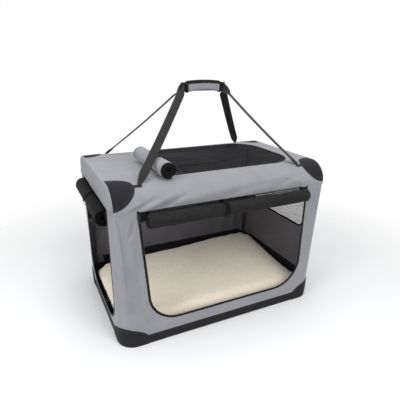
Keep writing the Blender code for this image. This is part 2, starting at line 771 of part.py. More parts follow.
def add_frame():
    ring = [(x, y, RING_Z) for x, y in plan_outline(RING_INSET)]
    add_part("base_ring", tube_curve("base_ring", ring, closed=True), STEEL)
    for end, side in (("left", -1), ("right", 1)):
        add_base_clip(f"base_clip_{end}", side)
        x = side * PIVOT_X
        lower = hoop_points(x, KNEE_Z - GAP / 2, BASE_PIVOT_Z, BASE_BEND_R)
        add_part(f"{end}_lower_hoop", tube_curve(f"{end}_lower_hoop", lower), STEEL)
        add_upper_hoop(f"{end}_upper_hoop", side)
        for face, y_side in (("front", -1), ("rear", 1)):
            add_knee(f"{end}_{face}_knee", side, y_side)
            add_button(f"{end}_{face}_lock_button", side, y_side)
    for face, y_side in (("front", -1), ("rear", 1)):
        add_rail(f"top_rail_{face}", y_side)


def add_base_clip(name, side):
    """A saddle that snaps over the ring's end tube and carries the lower hoop's bar above it."""
    ring_x = HALF_X - RING_INSET
    low_x = PIVOT_X - TUBE_R - GAP - CLIP_WALL
    high_x = ring_x + TUBE_R
    top = BASE_PIVOT_Z + TUBE_R + GAP + CLIP_WALL
    corners = sorted((side * low_x, side * high_x))
    body = box_mesh(name, (corners[0], -CLIP_LENGTH / 2, RING_Z), (corners[1], CLIP_LENGTH / 2, top))
    clip = add_part(name, body, BLACK_MOULDING)
    for label, x, z in (("ring", ring_x, RING_Z), ("bar", PIVOT_X, BASE_PIVOT_Z)):
        bore = cross_cylinder(f"{name}_{label}_bore", TUBE_R + GAP, 2 * CLIP_LENGTH, side * x, 0, z)
        boolean(clip, add_cutter(f"{name}_{label}_bore", bore))
    return clip


def add_upper_hoop(name, side):
    """The upper hoop, with an eye plate welded outside each leg's foot for the knee pin."""
    points = hoop_points(side * PIVOT_X, KNEE_Z + GAP / 2, TOP_PIVOT_Z, TUBE_BEND_R)
    hoop = add_part(name, as_mesh(tube_curve(name, points)), STEEL)
    pivot_x = PIVOT_X + KNEE_OFFSET
    for label, y in (("front", -LEG_Y), ("rear", LEG_Y)):
        eye = cross_cylinder(f"{name}_{label}_eye", EYE_R, EYE_T, side * pivot_x, y, KNEE_Z)
        plate = plate_box(f"{name}_{label}_plate", side, pivot_x + EYE_R, pivot_x - EYE_R, y, KNEE_Z)
        weld = plate_box(f"{name}_{label}_weld", side, pivot_x, PIVOT_X + TUBE_R / 2, y, KNEE_Z + EYE_R)
        hole = cross_cylinder(f"{name}_{label}_hole", PIN_R + GAP, 2 * EYE_T, side * pivot_x, y, KNEE_Z)
        for added in (eye, plate, weld):
            boolean(hoop, add_cutter(added.name, added), "UNION")
        boolean(hoop, add_cutter(hole.name, hole))


def plate_box(name, side, outer, inner, y, low):
    ys = (y - EYE_T / 2, y + EYE_T / 2)
    return span_mesh(name, (side * outer, side * inner), ys, (low, KNEE_Z + EYE_H))


def add_knee(name, side, y_side):
    """A channel riveted to the lower leg, with the knee pin and the lock button's cup."""
    leg_y = y_side * LEG_Y
    pivot = PIVOT_X + KNEE_OFFSET
    outer = CHANNEL_R + HUB_T
    low, high = KNEE_Z - HUB_BELOW, KNEE_Z + HUB_ABOVE
    xs = (side * (pivot + EYE_R), side * (PIVOT_X - outer))
    block = span_mesh(name, xs, (leg_y - outer, leg_y + outer), (low, high))
    knee = add_part(name, block, BLACK_MOULDING)
    xs = (side * (pivot + 2 * EYE_R), side * (PIVOT_X - CHANNEL_R))
    ys = (leg_y - CHANNEL_R, leg_y + CHANNEL_R)
    slot = span_mesh(f"{name}_slot", xs, ys, (low - HUB_ABOVE, high + HUB_ABOVE))
    boolean(knee, add_cutter(f"{name}_slot", slot))
    length = 2 * CHANNEL_R + CUP_FLOOR
    pin = cross_cylinder(f"{name}_pin", PIN_R, length, side * pivot, leg_y, KNEE_Z)
    boolean(knee, add_cutter(f"{name}_pin", pin), "UNION")
    plate = leg_y - y_side * CHANNEL_R
    rim = plate - y_side * (HUB_T + CUP_H)
    root = plate - y_side * CUP_FLOOR / 4
    cup = cross_cylinder(f"{name}_cup", CUP_R, abs(rim - root), side * pivot, (rim + root) / 2, KNEE_Z)
    boolean(knee, add_cutter(f"{name}_cup", cup), "UNION")
    floor = plate - y_side * CUP_FLOOR
    past = rim - y_side * CUP_H
    radius = BUTTON_R + GAP
    bore = cross_cylinder(f"{name}_bore", radius, abs(past - floor), side * pivot,
                          (past + floor) / 2, KNEE_Z)
    boolean(knee, add_cutter(f"{name}_bore", bore))


def add_button(name, side, y_side):
    """A lock button in its cup, out of its floor by its travel, on the knee pin's axis."""
    floor = y_side * (LEG_Y - CHANNEL_R - CUP_FLOOR - GAP - BUTTON_TRAVEL)
    centre = (side * (PIVOT_X + KNEE_OFFSET), floor - y_side * BUTTON_LENGTH / 2, KNEE_Z)
    body = cylinder_mesh(name, BUTTON_R, BUTTON_LENGTH, (0, 0, 0), (0, 1, 0))
    button = add_part(name, body, GREY_MOULDING)
    button.location = centre


def add_rail(name, y_side):
    """A rail under the top with a fitting at each end, which holds the upper hoop's bar."""
    x_end = PIVOT_X - SOCKET_SET_BACK
    half = TUBE_R + GAP + FITTING_WALL
    tube = cylinder_mesh(name, TUBE_R, 2 * x_end, (0, y_side * RAIL_Y, TOP_PIVOT_Z), (1, 0, 0))
    rail = add_part(name, tube, STEEL)
    inner_y = RAIL_Y - FITTING_REACH / 2 - half
    socket_ys = (y_side * (RAIL_Y + half), y_side * inner_y)
    sleeve_ys = (y_side * (RAIL_Y - half), y_side * (RAIL_Y - half - FITTING_REACH))
    zs = (TOP_PIVOT_Z - half, TOP_PIVOT_Z + half)
    for label, side in (("left", -1), ("right", 1)):
        back = side * (x_end - FITTING_LENGTH)
        socket = span_mesh(f"{name}_{label}_socket", (side * x_end, back), socket_ys, zs)
        sleeve = span_mesh(f"{name}_{label}_sleeve", (side * (PIVOT_X + half), back), sleeve_ys, zs)
        bore_name = f"{name}_{label}_bore"
        bore = cross_cylinder(bore_name, TUBE_R + GAP, WIDTH, side * PIVOT_X, 0, TOP_PIVOT_Z)
        boolean(rail, add_cutter(socket.name, socket), "UNION")
        boolean(rail, add_cutter(sleeve.name, sleeve), "UNION")
        boolean(rail, add_cutter(bore.name, bore))


# Straps and handle


def on_top_edge(angle, offset):
    """A point over the front top edge: how far out, and how high."""
    radius = TOP_EDGE_R + offset
    return ROUND_Y + radius * math.sin(angle), ROUND_Z + radius * math.cos(angle)


def strap_leg(x_side, y_side):
    """Stations of one leg, from its foot on the anchor up to the handle's end."""
    lift = GAP + STRAP_T + 2 * GAP + STRAP_T / 2
    half = STRAP_W / 2
    stations = []
    mid_angle = (STRAP_FOOT_ANGLE + STRAP_RISE_ANGLE) / 2
    for angle in (STRAP_FOOT_ANGLE, mid_angle, STRAP_RISE_ANGLE):
        y, z = on_top_edge(angle, lift)
        stations.append((Vector((x_side * ANCHOR_X, y_side * y, z)), Vector((half, 0, 0))))
    foot = stations[-1][0]
    lead = x_side * (HANDLE_LENGTH / 2 + STRAP_LEAD)
    end = Vector((HANDLE_X + lead, y_side * (STRAP_T + GAP) / 2, HANDLE_Z))
    run = (end - foot).normalized()
    across = Vector((run.y, -run.x, 0)).normalized()
    across = across if across.x > 0 else -across
    on_edge = run.cross(across)
    on_edge = on_edge if on_edge.z > 0 else -on_edge
    half_way = Vector((1, 0, 0)) + across
    half_way -= half_way.project(run)
    stations.append((foot + run * STRAP_TWIST_LENGTH / 2, half_way.normalized() * half))
    stations.append((foot + run * STRAP_TWIST_LENGTH, across * half))
    last = STRAP_TWIST_STEPS - 1
    for step in range(STRAP_TWIST_STEPS):
        back = 2 * STRAP_TWIST_LENGTH * (1 - step / STRAP_TWIST_STEPS)
        turn = math.pi / 2 * step / last
        upright = (on_edge + Vector((0, 0, 1))).normalized() if step == last else on_edge
        width = across * math.cos(turn) + upright * math.sin(turn)
        stations.append((end - run * back, width * half))
    stations.append((end, Vector((0, 0, half))))
    stations.append((end - Vector((x_side * STRAP_LEAD, 0, 0)), Vector((0, 0, half))))
    return stations


def add_straps():
    for name, y_side in (("front_strap", -1), ("rear_strap", 1)):
        left = strap_leg(-1, y_side)
        right = strap_leg(1, y_side)
        stations = align(left + right[::-1])
        add_part(name, strip_mesh(name, stations, STRAP_T), WEBBING)
    slot_y = STRAP_T + GAP / 2 + HANDLE_CLEARANCE
    slot_z = STRAP_W / 2 + HANDLE_CLEARANCE
    outer = rounded_box(-HANDLE_HALF_Y, HANDLE_HALF_Y, -HANDLE_HALF_Z, HANDLE_HALF_Z, HANDLE_R)
    inner = [(-slot_y, -slot_z), (slot_y, -slot_z), (slot_y, slot_z), (-slot_y, slot_z)]
    length = HANDLE_LENGTH - 2 * GAP
    add_flat("handle_wrap", [outer, inner], length, IN_YZ, (HANDLE_X, 0, HANDLE_Z), GREY_CLOTH)


def align(stations):
    """Turns each half width so that it points the same way as the one before."""
    kept = [stations[0]]
    for centre, half in stations[1:]:
        if half.dot(kept[-1][1]) < 0:
            half = -half
        kept.append((centre, half))
    return kept


# Zip sliders


def add_slider(name, centre, outward, pull):
    """A slider and its pull in one piece; outward leaves the zip and pull hangs along it."""
    outward, pull = Vector(outward), Vector(pull)
    across = outward.cross(pull)
    frame = Matrix((across, pull, outward)).transposed()
    body = box_mesh(name, (-SLIDER_W / 2, -SLIDER_L / 2, 0), (SLIDER_W / 2, SLIDER_L / 2, SLIDER_T))
    tab_zs = (SLIDER_T - PULL_T / 2, SLIDER_T + PULL_T / 2)
    tab = span_mesh(name + "_pull", (-PULL_W / 2, PULL_W / 2), (0, PULL_L), tab_zs)
    slider = place(add_part(name, body, ZIP_METAL), frame, centre)
    boolean(slider, place(add_cutter(name + "_pull", tab), frame, centre), "UNION")


def add_sliders():
    out = BINDING_T / 2 + GAP
    z = WALL_TOP - SLIDER_DROP
    for label, side in (("left", -1), ("right", 1)):
        x = side * (DOOR_HALF + BINDING_W / 2)
        down = Vector((0, 0, -1))
        if side < 0:
            down = Vector((DOOR_LEAN, 0, DOOR_SILL + DOOR_R - WALL_TOP)).normalized()
            x += SLIDER_DROP * down.x / -down.z
        add_slider(f"front_zip_slider_{label}", (x, -BINDING_MID_Y - out, z), (0, -1, 0), down)
    for label, side in (("front", -1), ("rear", 1)):
        y = side * (END_DOOR_HALF + BINDING_W / 2)
        add_slider(f"left_zip_slider_{label}", (-BINDING_MID_X - out, y, z), (-1, 0, 0), (0, 0, -1))
        y = side * (TOP_WINDOW_HALF_Y + BINDING_W / 2)
        x = TOP_WINDOW_LEFT + FLAP_SLIDER_START
        add_slider(f"flap_zip_slider_{label}", (x, y, HEIGHT - CLOTH / 2 + out), (0, 0, 1), (1, 0, 0))


clear_scene()
add_walls()
add_base()
add_mat()
add_top()
add_rolls()
add_frame()
add_straps()
add_sliders()
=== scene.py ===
"""The looks of the soft folding dog crate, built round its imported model."""

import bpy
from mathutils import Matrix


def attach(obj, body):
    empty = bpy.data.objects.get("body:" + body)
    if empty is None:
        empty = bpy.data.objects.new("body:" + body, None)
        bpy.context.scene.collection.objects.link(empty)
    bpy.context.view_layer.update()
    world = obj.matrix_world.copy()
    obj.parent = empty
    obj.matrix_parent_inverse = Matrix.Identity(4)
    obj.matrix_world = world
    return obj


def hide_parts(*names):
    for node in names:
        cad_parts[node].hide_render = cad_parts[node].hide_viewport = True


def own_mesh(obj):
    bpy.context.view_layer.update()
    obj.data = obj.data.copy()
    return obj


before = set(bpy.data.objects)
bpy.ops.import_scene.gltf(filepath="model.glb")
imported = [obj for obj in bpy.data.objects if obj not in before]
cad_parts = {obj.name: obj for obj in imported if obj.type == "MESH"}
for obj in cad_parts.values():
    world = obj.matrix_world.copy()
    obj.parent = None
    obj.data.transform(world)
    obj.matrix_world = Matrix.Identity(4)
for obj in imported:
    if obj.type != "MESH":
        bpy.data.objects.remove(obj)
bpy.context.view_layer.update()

import math

import bmesh
import bpy
import numpy as np
from mathutils import Matrix, Vector, noise

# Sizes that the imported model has, in metres
HALF_X, HALF_Y, HEIGHT = 0.381, 0.254, 0.540
EDGE_R = 0.070
ROUND_Y, ROUND_Z = HALF_Y - EDGE_R, HEIGHT - EDGE_R
WALL_TOP, WALL_LOW = 0.465, 0.0343
CORNER_R_BASE, CORNER_R_TOP, CORNER_POWER = 0.055, 0.012, 1.2
TAPE_W, TAPE_T = 0.0072, 0.0017
DOOR_SILL, DOOR_LEAN, DOOR_R = 0.080, 0.022, 0.100
DOORS = {"front": (0.302, DOOR_SILL, DOOR_LEAN), "left": (0.185, 0.050, 0.0)}
SILL, HEAD, WINDOW_R = 0.265, 0.440, 0.030
WINDOW_Z, WINDOW_DEEP = (HEAD + SILL) / 2, (HEAD - SILL) / 2
WINDOWS = {"rear": 0.290, "right": 0.170}
TOP_LEFT, TOP_RIGHT, TOP_HALF_Y = -0.175, 0.310, 0.172
TOP_X, TOP_HALF_X = (TOP_LEFT + TOP_RIGHT) / 2, (TOP_RIGHT - TOP_LEFT) / 2
TOP_R_LEFT, TOP_R_RIGHT = 0.012, 0.100
SEAM_X = 0.375
GUARD_TILT, GUARD_REACH, GUARD_HALF = math.radians(29), 0.072, 0.058
BAND_H = 0.034
BASE_GUARD_HALF, BASE_GUARD_RISE = 0.078, 0.038
MAT_HALF_X, MAT_HALF_Y, MAT_T, MAT_LOW = 0.348, 0.215, 0.070, 0.0018
FRONT_ROLL_Y, FRONT_ROLL_Z = -0.2788, 0.444
LEFT_ROLL_X, LEFT_ROLL_Z = -0.389, 0.4363
FLAP_X, FLAP_Y, FLAP_Z, FLAP_HALF = -0.195, -0.0905, 0.5674, 0.1275
FRONT_SLIDER_X, LEFT_SLIDER_Y = 0.3065, 0.1895
FLAP_SLIDER_X, FLAP_SLIDER_Y = -0.155, 0.1765
HANDLE_X, HANDLE_Z, HANDLE_LENGTH = 0.020, 0.790, 0.137
HANDLE_HALF = HANDLE_LENGTH / 2 - 0.0012
STRAP_X, STRAP_T, STRAP_HALF, LEAD = 0.285, 0.0018, 0.0138, 0.004
ANCHOR_X, ANCHOR_HALF = 0.2945, 0.0142

# Sizes of the cloth pieces that only this script has
CLOTH, GUARD_CLOTH = 0.0013, 0.0011
TUCK, SEAM_GAP, NET_LAP = 0.008, 0.0003, 0.003
TAPE_SEAM, TAPE_LAP = TAPE_W - 0.0016, TAPE_W - 0.001
STITCH_LIFT = 0.0016
ROLL_CORE, ROLL_PITCH, ROLL_T, FLAP_SKEW = 0.006, 0.0034, 0.0022, 0.03
TIE_HALF, TIE_TURN = 0.0075, math.radians(303)
MAT_REACH_X, MAT_REACH_Y, MAT_HIGH = 0.376, 0.2185, 0.081
HANDLE_COUNT = 28
LINING_BANDS = {"rear": 0.086, "right": 0.077, "left": 0.072, "front": 0.090}
LEFT_BAND_X, LEFT_BAND = -0.325, 0.060

# The ends and the long sides, each with its sign in x or y, and the four corners of both
ENDS, SIDES = (("left", -1), ("right", 1)), (("front", -1), ("rear", 1))
CORNERS = [(*end, *side) for end in ENDS for side in SIDES]

# Colours, linear
GREY = (0.272, 0.272, 0.295)
LINING = (0.168, 0.160, 0.176)
DARK = (0.0140, 0.0134, 0.0175)
TAPE = (0.006, 0.006, 0.006)
WEB = (0.011, 0.0105, 0.0098)
NET = (0.0078, 0.0078, 0.0098)
# The front roll's colour is the door cloth painted lighter: painted light.
ROLL = (0.0150, 0.0150, 0.0143)
# The left roll's colour is the door cloth painted darker: painted shade.
ROLL_LEFT_SHADED = (0.0030, 0.0030, 0.0028)
FLEECE = (1.0, 0.880, 0.715)
THREAD_GREY = (0.30, 0.30, 0.32)
THREAD_DARK = (0.060, 0.058, 0.062)


# Camera, light and floor


def add_camera():
    data = bpy.data.cameras.new("camera")
    camera = bpy.data.objects.new("camera", data)
    bpy.context.scene.collection.objects.link(camera)
    camera.location = (-0.5788, -1.2264, 0.8669)
    camera.rotation_euler = [math.radians(turn) for turn in (69.08, -0.64, -25.87)]
    data.lens, data.sensor_width = 33.93, 36.0
    data.shift_x, data.shift_y = -0.0058, 0.0165
    data.clip_start = 0.02
    bpy.context.scene.camera = camera
    bpy.context.scene.view_settings.view_transform = "Standard"


def add_world():
    """White where the camera looks or a gloss mirrors it, and a dimmer light on all else."""
    world = bpy.data.worlds.new("studio")
    bpy.context.scene.world = world
    world.use_nodes = True
    tree = world.node_tree
    tree.nodes.clear()

    def add(kind, *sources):
        node = tree.nodes.new("ShaderNode" + kind)
        for source, socket in zip(sources, node.inputs):
            tree.links.new(source, socket)
        return node

    path, room, white = add("LightPath"), add("Background"), add("Background")
    room.inputs["Color"].default_value = (0.96, 0.98, 1.0, 1.0)
    room.inputs["Strength"].default_value = 0.50
    white.inputs["Color"].default_value = (1.0, 1.0, 1.0, 1.0)
    seen = path.outputs["Is Camera Ray"]
    for ray in ("Is Glossy Ray", "Is Transmission Ray"):
        either = add("Math", seen, path.outputs[ray])
        either.operation = "MAXIMUM"
        seen = either.outputs[0]
    add("OutputWorld", add("MixShader", seen, room.outputs[0], white.outputs[0]).outputs[0])


def add_lamp(name, energy, size, place, target):
    data = bpy.data.lights.new(name, "AREA")
    data.energy, data.shape, data.size = energy, "DISK", size
    lamp = bpy.data.objects.new(name, data)
    bpy.context.scene.collection.objects.link(lamp)
    lamp.location = place
    aim = Vector(target) - Vector(place)
    lamp.rotation_euler = aim.to_track_quat("-Z", "Y").to_euler()


def add_floor():
    mesh = bpy.data.meshes.new("stage_floor")
    shape = bmesh.new()
    bmesh.ops.create_circle(shape, cap_ends=True, segments=96, radius=3.0)
    bmesh.ops.translate(shape, vec=(0, 0, -0.0006), verts=shape.verts)
    shape.to_mesh(mesh)
    shape.free()
    floor = bpy.data.objects.new("stage_floor", mesh)
    bpy.context.scene.collection.objects.link(floor)
    tree = Tree("stage_floor")
    far = tree.vector("LENGTH", tree.object_place()).outputs["Value"]
    tree.set(Base_Color=(0.93, 0.93, 0.93, 1.0), Roughness=0.9,
             Alpha=tree.span(far, 0.55, 1.5, 1.0, 0.0, smooth=True))
    mesh.materials.append(tree.material)


# Node materials


class Tree:
    """A material's nodes, with short calls to add and join them."""

    def __init__(self, name):
        self.material = bpy.data.materials.new(name)
        self.material.use_nodes = True
        self.nodes = self.material.node_tree.nodes
        self.links = self.material.node_tree.links
        self.shader = self.nodes["Principled BSDF"]

    def put(self, socket, value):
        if isinstance(value, bpy.types.NodeSocket):
            self.links.new(value, socket)
        else:
            socket.default_value = value

    def add(self, kind, values=(), **settings):
        node = self.nodes.new("ShaderNode" + kind)
        for key, value in settings.items():
            setattr(node, key, value)
        for key, value in dict(values).items():
            self.put(node.inputs[key], value)
        return node

    def math(self, operation, *values):
        return self.add("Math", enumerate(values), operation=operation).outputs[0]

    def vector(self, operation, *values, scale=None):
        named = {} if scale is None else {"Scale": scale}
        return self.add("VectorMath", {**dict(enumerate(values)), **named}, operation=operation)

    def span(self, value, low, high, to_low, to_high, smooth=False):
        ends = {"Value": value, "From Min": low, "From Max": high, "To Min": to_low,
                "To Max": to_high}
        return self.add("MapRange", ends,
                        interpolation_type="SMOOTHSTEP" if smooth else "LINEAR").outputs["Result"]

    def blend(self, share, a, b):
        a, b = ((*c, 1.0) if isinstance(c, tuple) and len(c) == 3 else c for c in (a, b))
        return self.add("Mix", {0: share, 6: a, 7: b}, data_type="RGBA").outputs[2]

    def mottle(self, share, colour, low, high):
        """The colour, times low to times high as share goes over its middle."""
        return self.blend(self.span(share, 0.3, 0.7, 0.0, 1.0), times(colour, low),
                          times(colour, high))

    def noise(self, where, scale, detail=3.0, roughness=0.5):
        return self.add("TexNoise", {"Vector": where, "Scale": scale, "Detail": detail,
                                     "Roughness": roughness}).outputs["Fac"]

    def attribute(self, name, output="Fac"):
        return self.add("Attribute", attribute_name=name).outputs[output]

    def object_place(self):
        return self.add("TexCoord").outputs["Object"]

    def bump(self, height, strength, distance, below=None):
        values = {"Height": height, "Strength": strength, "Distance": distance}
        if below is not None:
            values["Normal"] = below
        return self.add("Bump", values).outputs["Normal"]

    def set(self, **values):
        for key, value in values.items():
            self.put(self.shader.inputs[key.replace("_", " ")], value)


def times(colour, share):
    return tuple(min(c * share, 1.0) for c in colour)


def weave_height(tree, where, pitch):
    """A plain weave: threads go over and under each other, cell by cell."""
    scaled = tree.vector("SCALE", where, scale=1.0 / pitch).outputs[0]
    cell = tree.add("TexChecker", {"Vector": scaled, "Scale": 1.0}).outputs["Fac"]
    parts = tree.add("SeparateXYZ", {"Vector": scaled}).outputs
    over, under = (tree.math("ABSOLUTE", tree.math("SINE", tree.math("MULTIPLY", part, math.pi)))
                   for part in parts[:2])
    return tree.add("Mix", {0: cell, 2: over, 3: under}, data_type="FLOAT").outputs[0]


def cloth_material(name, colour, pitch=0.0006, weave=0.35, mottle=0.10, wear=(1.35, 0.5),
                   rough=(0.74, 0.92), sheen=0.25, crumple=0.5, on_object=False, gloss=0.35):
    """Woven cloth: threads, slubs, soft mottling, painted shade in the weave's dips, fine crumples,
    and wear where the mesh says.
    """
    tree = Tree(name)
    place = tree.object_place()
    where = place if on_object else tree.attribute("thread", "Vector")
    height = weave_height(tree, where, pitch)
    cloud = tree.noise(place, 14.0, 4.0, 0.55)
    slub = tree.noise(tree.vector("MULTIPLY", where, (1.0, 0.06, 1.0)).outputs[0], 900.0, 2.0)
    speck = tree.noise(place, 260.0, 2.0)
    tone = tree.mottle(cloud, colour, 1 - mottle, 1 + mottle)
    tone = tree.blend(tree.math("MULTIPLY", slub, 0.22), tone, times(colour, 1.25))
    # The weave's dips are painted darker: painted shade between the threads.
    tone = tree.blend(tree.span(height, 0.0, 0.7, 0.22, 0.0), tone, times(colour, 0.45))
    worn = tree.math("MULTIPLY", tree.attribute("wear"), tree.span(speck, 0.35, 0.65, 0.4, 1.0))
    tone = tree.blend(tree.math("MULTIPLY", worn, wear[1]), tone, times(colour, wear[0]))
    normal = tree.bump(tree.noise(place, 75.0, 5.0, 0.6), crumple, 0.0012)
    rubbed = tree.math("ADD", cloud, tree.math("MULTIPLY", worn, 0.5))
    tree.set(Base_Color=tone, Normal=tree.bump(height, weave, 0.0002, normal),
             Roughness=tree.span(rubbed, 0.25, 0.9, *rough),
             Sheen_Weight=sheen, Sheen_Roughness=0.45, Specular_IOR_Level=gloss)
    return tree.material


def webbing_material(name, colour, rib=0.0016):
    """Webbing with diagonal ribs that meet at its middle, on the piece's own thread, with painted
    light on the ribs' crests.
    """
    tree = Tree(name)
    parts = tree.add("SeparateXYZ", {"Vector": tree.attribute("thread", "Vector")})
    along = tree.math("DIVIDE", parts.outputs[0], rib)
    across = tree.math("ABSOLUTE", tree.math("DIVIDE", parts.outputs[1], rib))
    ribs = tree.math("SINE", tree.math("MULTIPLY", tree.math("ADD", along, across), 2 * math.pi))
    ribs = tree.span(ribs, -1.0, 1.0, 0.0, 1.0)
    place = tree.object_place()
    cloud = tree.noise(place, 22.0, 4.0)
    tone = tree.mottle(cloud, colour, 0.82, 1.22)
    # The ribs' crests are painted lighter: painted light.
    tone = tree.blend(tree.math("MULTIPLY", ribs, 0.35), tone, times(colour, 1.7))
    worn = tree.math("MULTIPLY", tree.attribute("wear"), tree.noise(place, 400.0))
    tree.set(Base_Color=tree.blend(worn, tone, times(colour, 2.6)),
             Normal=tree.bump(ribs, 0.6, 0.0004), Roughness=tree.span(cloud, 0.2, 0.8, 0.6, 0.8),
             Sheen_Weight=0.06, Sheen_Roughness=0.4, Specular_IOR_Level=0.3)
    return tree.material


def net_material(name, colour, pitch=0.0019, hole=0.37, solid=False, rib=0.0):
    """Netting with round holes in a diagonal lattice; solid keeps the holes as dimples, painted
    darker as shade.

    Rib is the step between its closed level rows, or zero."""
    tree = Tree(name)
    where = tree.attribute("thread", "Vector")
    turned = tree.add("Mapping", {"Vector": where, "Rotation": (0.0, 0.0, math.pi / 4),
                                  "Scale": (1.0 / pitch, 1.0 / pitch, 1.0)}).outputs["Vector"]
    cell = tree.vector("SUBTRACT", tree.vector("FRACTION", turned).outputs[0], (0.5, 0.5, 0.0))
    flat = tree.vector("MULTIPLY", cell.outputs[0], (1.0, 1.0, 0.0)).outputs[0]
    away = tree.vector("LENGTH", flat).outputs["Value"]
    threads = tree.span(away, hole - 0.04, hole + 0.04, 0.0, 1.0, smooth=True)
    place = tree.object_place()
    if rib:
        level = tree.add("SeparateXYZ", {"Vector": where}).outputs[1]
        level = tree.math("ADD", level, tree.math("MULTIPLY", tree.noise(place, 9.0, 1.0), 0.012))
        row = tree.math("PINGPONG", tree.math("DIVIDE", level, rib), 0.5)
        threads = tree.math("MAXIMUM", threads, tree.span(row, 0.10, 0.16, 1.0, 0.0))
    cloud = tree.noise(place, 18.0, 4.0)
    tone = tree.mottle(cloud, colour, 0.75, 1.35)
    if solid:
        # The holes are painted darker: painted shade in the dimples.
        tone = tree.blend(tree.math("MULTIPLY", threads, 0.6), times(colour, 0.55), tone)
        tone = tree.blend(tree.math("MULTIPLY", threads, tree.span(cloud, 0.4, 0.7, 0.1, 0.5)),
                          tone, times(colour, 2.2))
        speck = tree.span(tree.noise(place, 230.0, 2.0, 0.6), 0.5, 0.68, 0.0, 0.55)
        tone = tree.blend(speck, tone, times(colour, 2.6))
    else:
        tree.set(Alpha=threads)
    fine = tree.bump(tree.noise(place, 60.0, 4.0), 0.5, 0.0015)
    tree.set(Base_Color=tone, Normal=tree.bump(threads, 0.7, 0.0004, fine),
             Roughness=tree.span(cloud, 0.2, 0.8, 0.6, 0.8), Specular_IOR_Level=0.10)
    return tree.material


def fleece_material(name, colour):
    """Curly pile: clumps a few millimetres wide over finer fuzz, with painted shade between the
    curls.
    """
    tree = Tree(name)
    place = tree.object_place()
    swirl = tree.add("TexNoise", {"Vector": place, "Scale": 90.0}).outputs["Color"]
    bent = tree.vector("ADD", place, tree.vector("SCALE", swirl, scale=0.006).outputs[0])
    curls = tree.add("TexVoronoi", {"Vector": bent.outputs[0], "Scale": 210.0},
                     feature="SMOOTH_F1").outputs["Distance"]
    clumps = tree.noise(place, 70.0, 4.0, 0.6)
    fuzz = tree.noise(place, 700.0, 3.0, 0.7)
    cloud = tree.noise(place, 9.0, 3.0)
    tone = tree.mottle(clumps, colour, 0.92, 1.04)
    # The gaps between the curls are painted darker: painted shade.
    tone = tree.blend(tree.span(curls, 0.3, 0.8, 0.0, 0.25), tone, times(colour, 0.84))
    tone = tree.blend(tree.span(cloud, 0.45, 0.75, 0.0, 0.12), tone, (0.72, 0.62, 0.47))
    pile = tree.bump(clumps, 0.45, 0.0025)
    pile = tree.bump(tree.math("SUBTRACT", 1.0, curls), 0.4, 0.0012, pile)
    tree.set(Base_Color=tone, Normal=tree.bump(fuzz, 0.4, 0.0006, pile),
             Roughness=tree.span(fuzz, 0.2, 0.8, 0.85, 1.0),
             Sheen_Weight=0.8, Sheen_Roughness=0.6, Specular_IOR_Level=0.15)
    return tree.material


def coated_material(name, colour, rough=(0.32, 0.5), metallic=0.0):
    """Powder coat or moulded plastic: fine orange peel, smudges and rubbed spots."""
    tree = Tree(name)
    place = tree.object_place()
    smudge = tree.noise(place, 38.0, 5.0, 0.65)
    scuffs = tree.span(tree.noise(place, 170.0, 6.0, 0.7), 0.62, 0.72, 0.0, 0.35)
    tone = tree.blend(scuffs, tree.mottle(smudge, colour, 0.85, 1.15), times(colour, 1.9))
    tree.set(Base_Color=tone, Metallic=metallic, Roughness=tree.span(smudge, 0.3, 0.7, *rough),
             Normal=tree.bump(tree.noise(place, 900.0, 3.0), 0.25, 0.00015))
    return tree.material


def thread_material(name, colour):
    tree = Tree(name)
    twist = tree.noise(tree.object_place(), 1500.0, 2.0)
    tree.set(Base_Color=tree.blend(twist, times(colour, 0.75), times(colour, 1.3)),
             Roughness=tree.span(twist, 0.2, 0.8, 0.5, 0.7), Normal=tree.bump(twist, 0.4, 0.0002))
    return tree.material


def make_materials():
    return {
        "grey": cloth_material("grey_cloth", GREY),
        "lining": cloth_material("lining_cloth", LINING, sheen=0.1, crumple=0.4, gloss=0.2),
        "dark": cloth_material("guard_cloth", DARK, pitch=0.0008, weave=0.5, mottle=0.14,
                               wear=(1.8, 0.5), sheen=0.04, gloss=0.18),
        "dark_object": cloth_material("floor_cloth", DARK, pitch=0.0008, sheen=0.05,
                                      on_object=True),
        "tape": cloth_material("binding_cloth", TAPE, pitch=0.0005, mottle=0.2, wear=(2.2, 0.4),
                               rough=(0.6, 0.8), sheen=0.03, gloss=0.12),
        "web": webbing_material("webbing", WEB),
        "net": net_material("window_netting", NET, hole=0.44, rib=0.0068),
        "rear_net": net_material("rear_netting", NET, hole=0.14, rib=0.0068),
        "top_net": net_material("top_netting", NET, pitch=0.0016, hole=0.41),
        # The front roll's netting carries the lighter colour, which is painted light.
        "roll": net_material("rolled_door_netting_painted_light", ROLL, pitch=0.0028, solid=True),
        # The left roll's netting carries the darker colour, which is painted shade.
        "left_roll": net_material("rolled_side_netting_painted_shade", ROLL_LEFT_SHADED, pitch=0.0028, solid=True),
        "fleece": fleece_material("fleece", FLEECE),
        "steel": coated_material("frame_coat", (0.020, 0.020, 0.022), metallic=0.1),
        "plastic": coated_material("black_plastic", (0.022, 0.022, 0.023), (0.4, 0.55)),
        "button": coated_material("grey_plastic", (0.26, 0.26, 0.27), (0.35, 0.5)),
        "zip": coated_material("zip_metal", (0.045, 0.045, 0.048), (0.28, 0.42), 0.7),
        "coil": coated_material("zip_coil", (0.016, 0.016, 0.017), (0.3, 0.45)),
        "thread_grey": thread_material("grey_thread", THREAD_GREY),
        "thread_dark": thread_material("dark_thread", THREAD_DARK),
    }


# Meshes


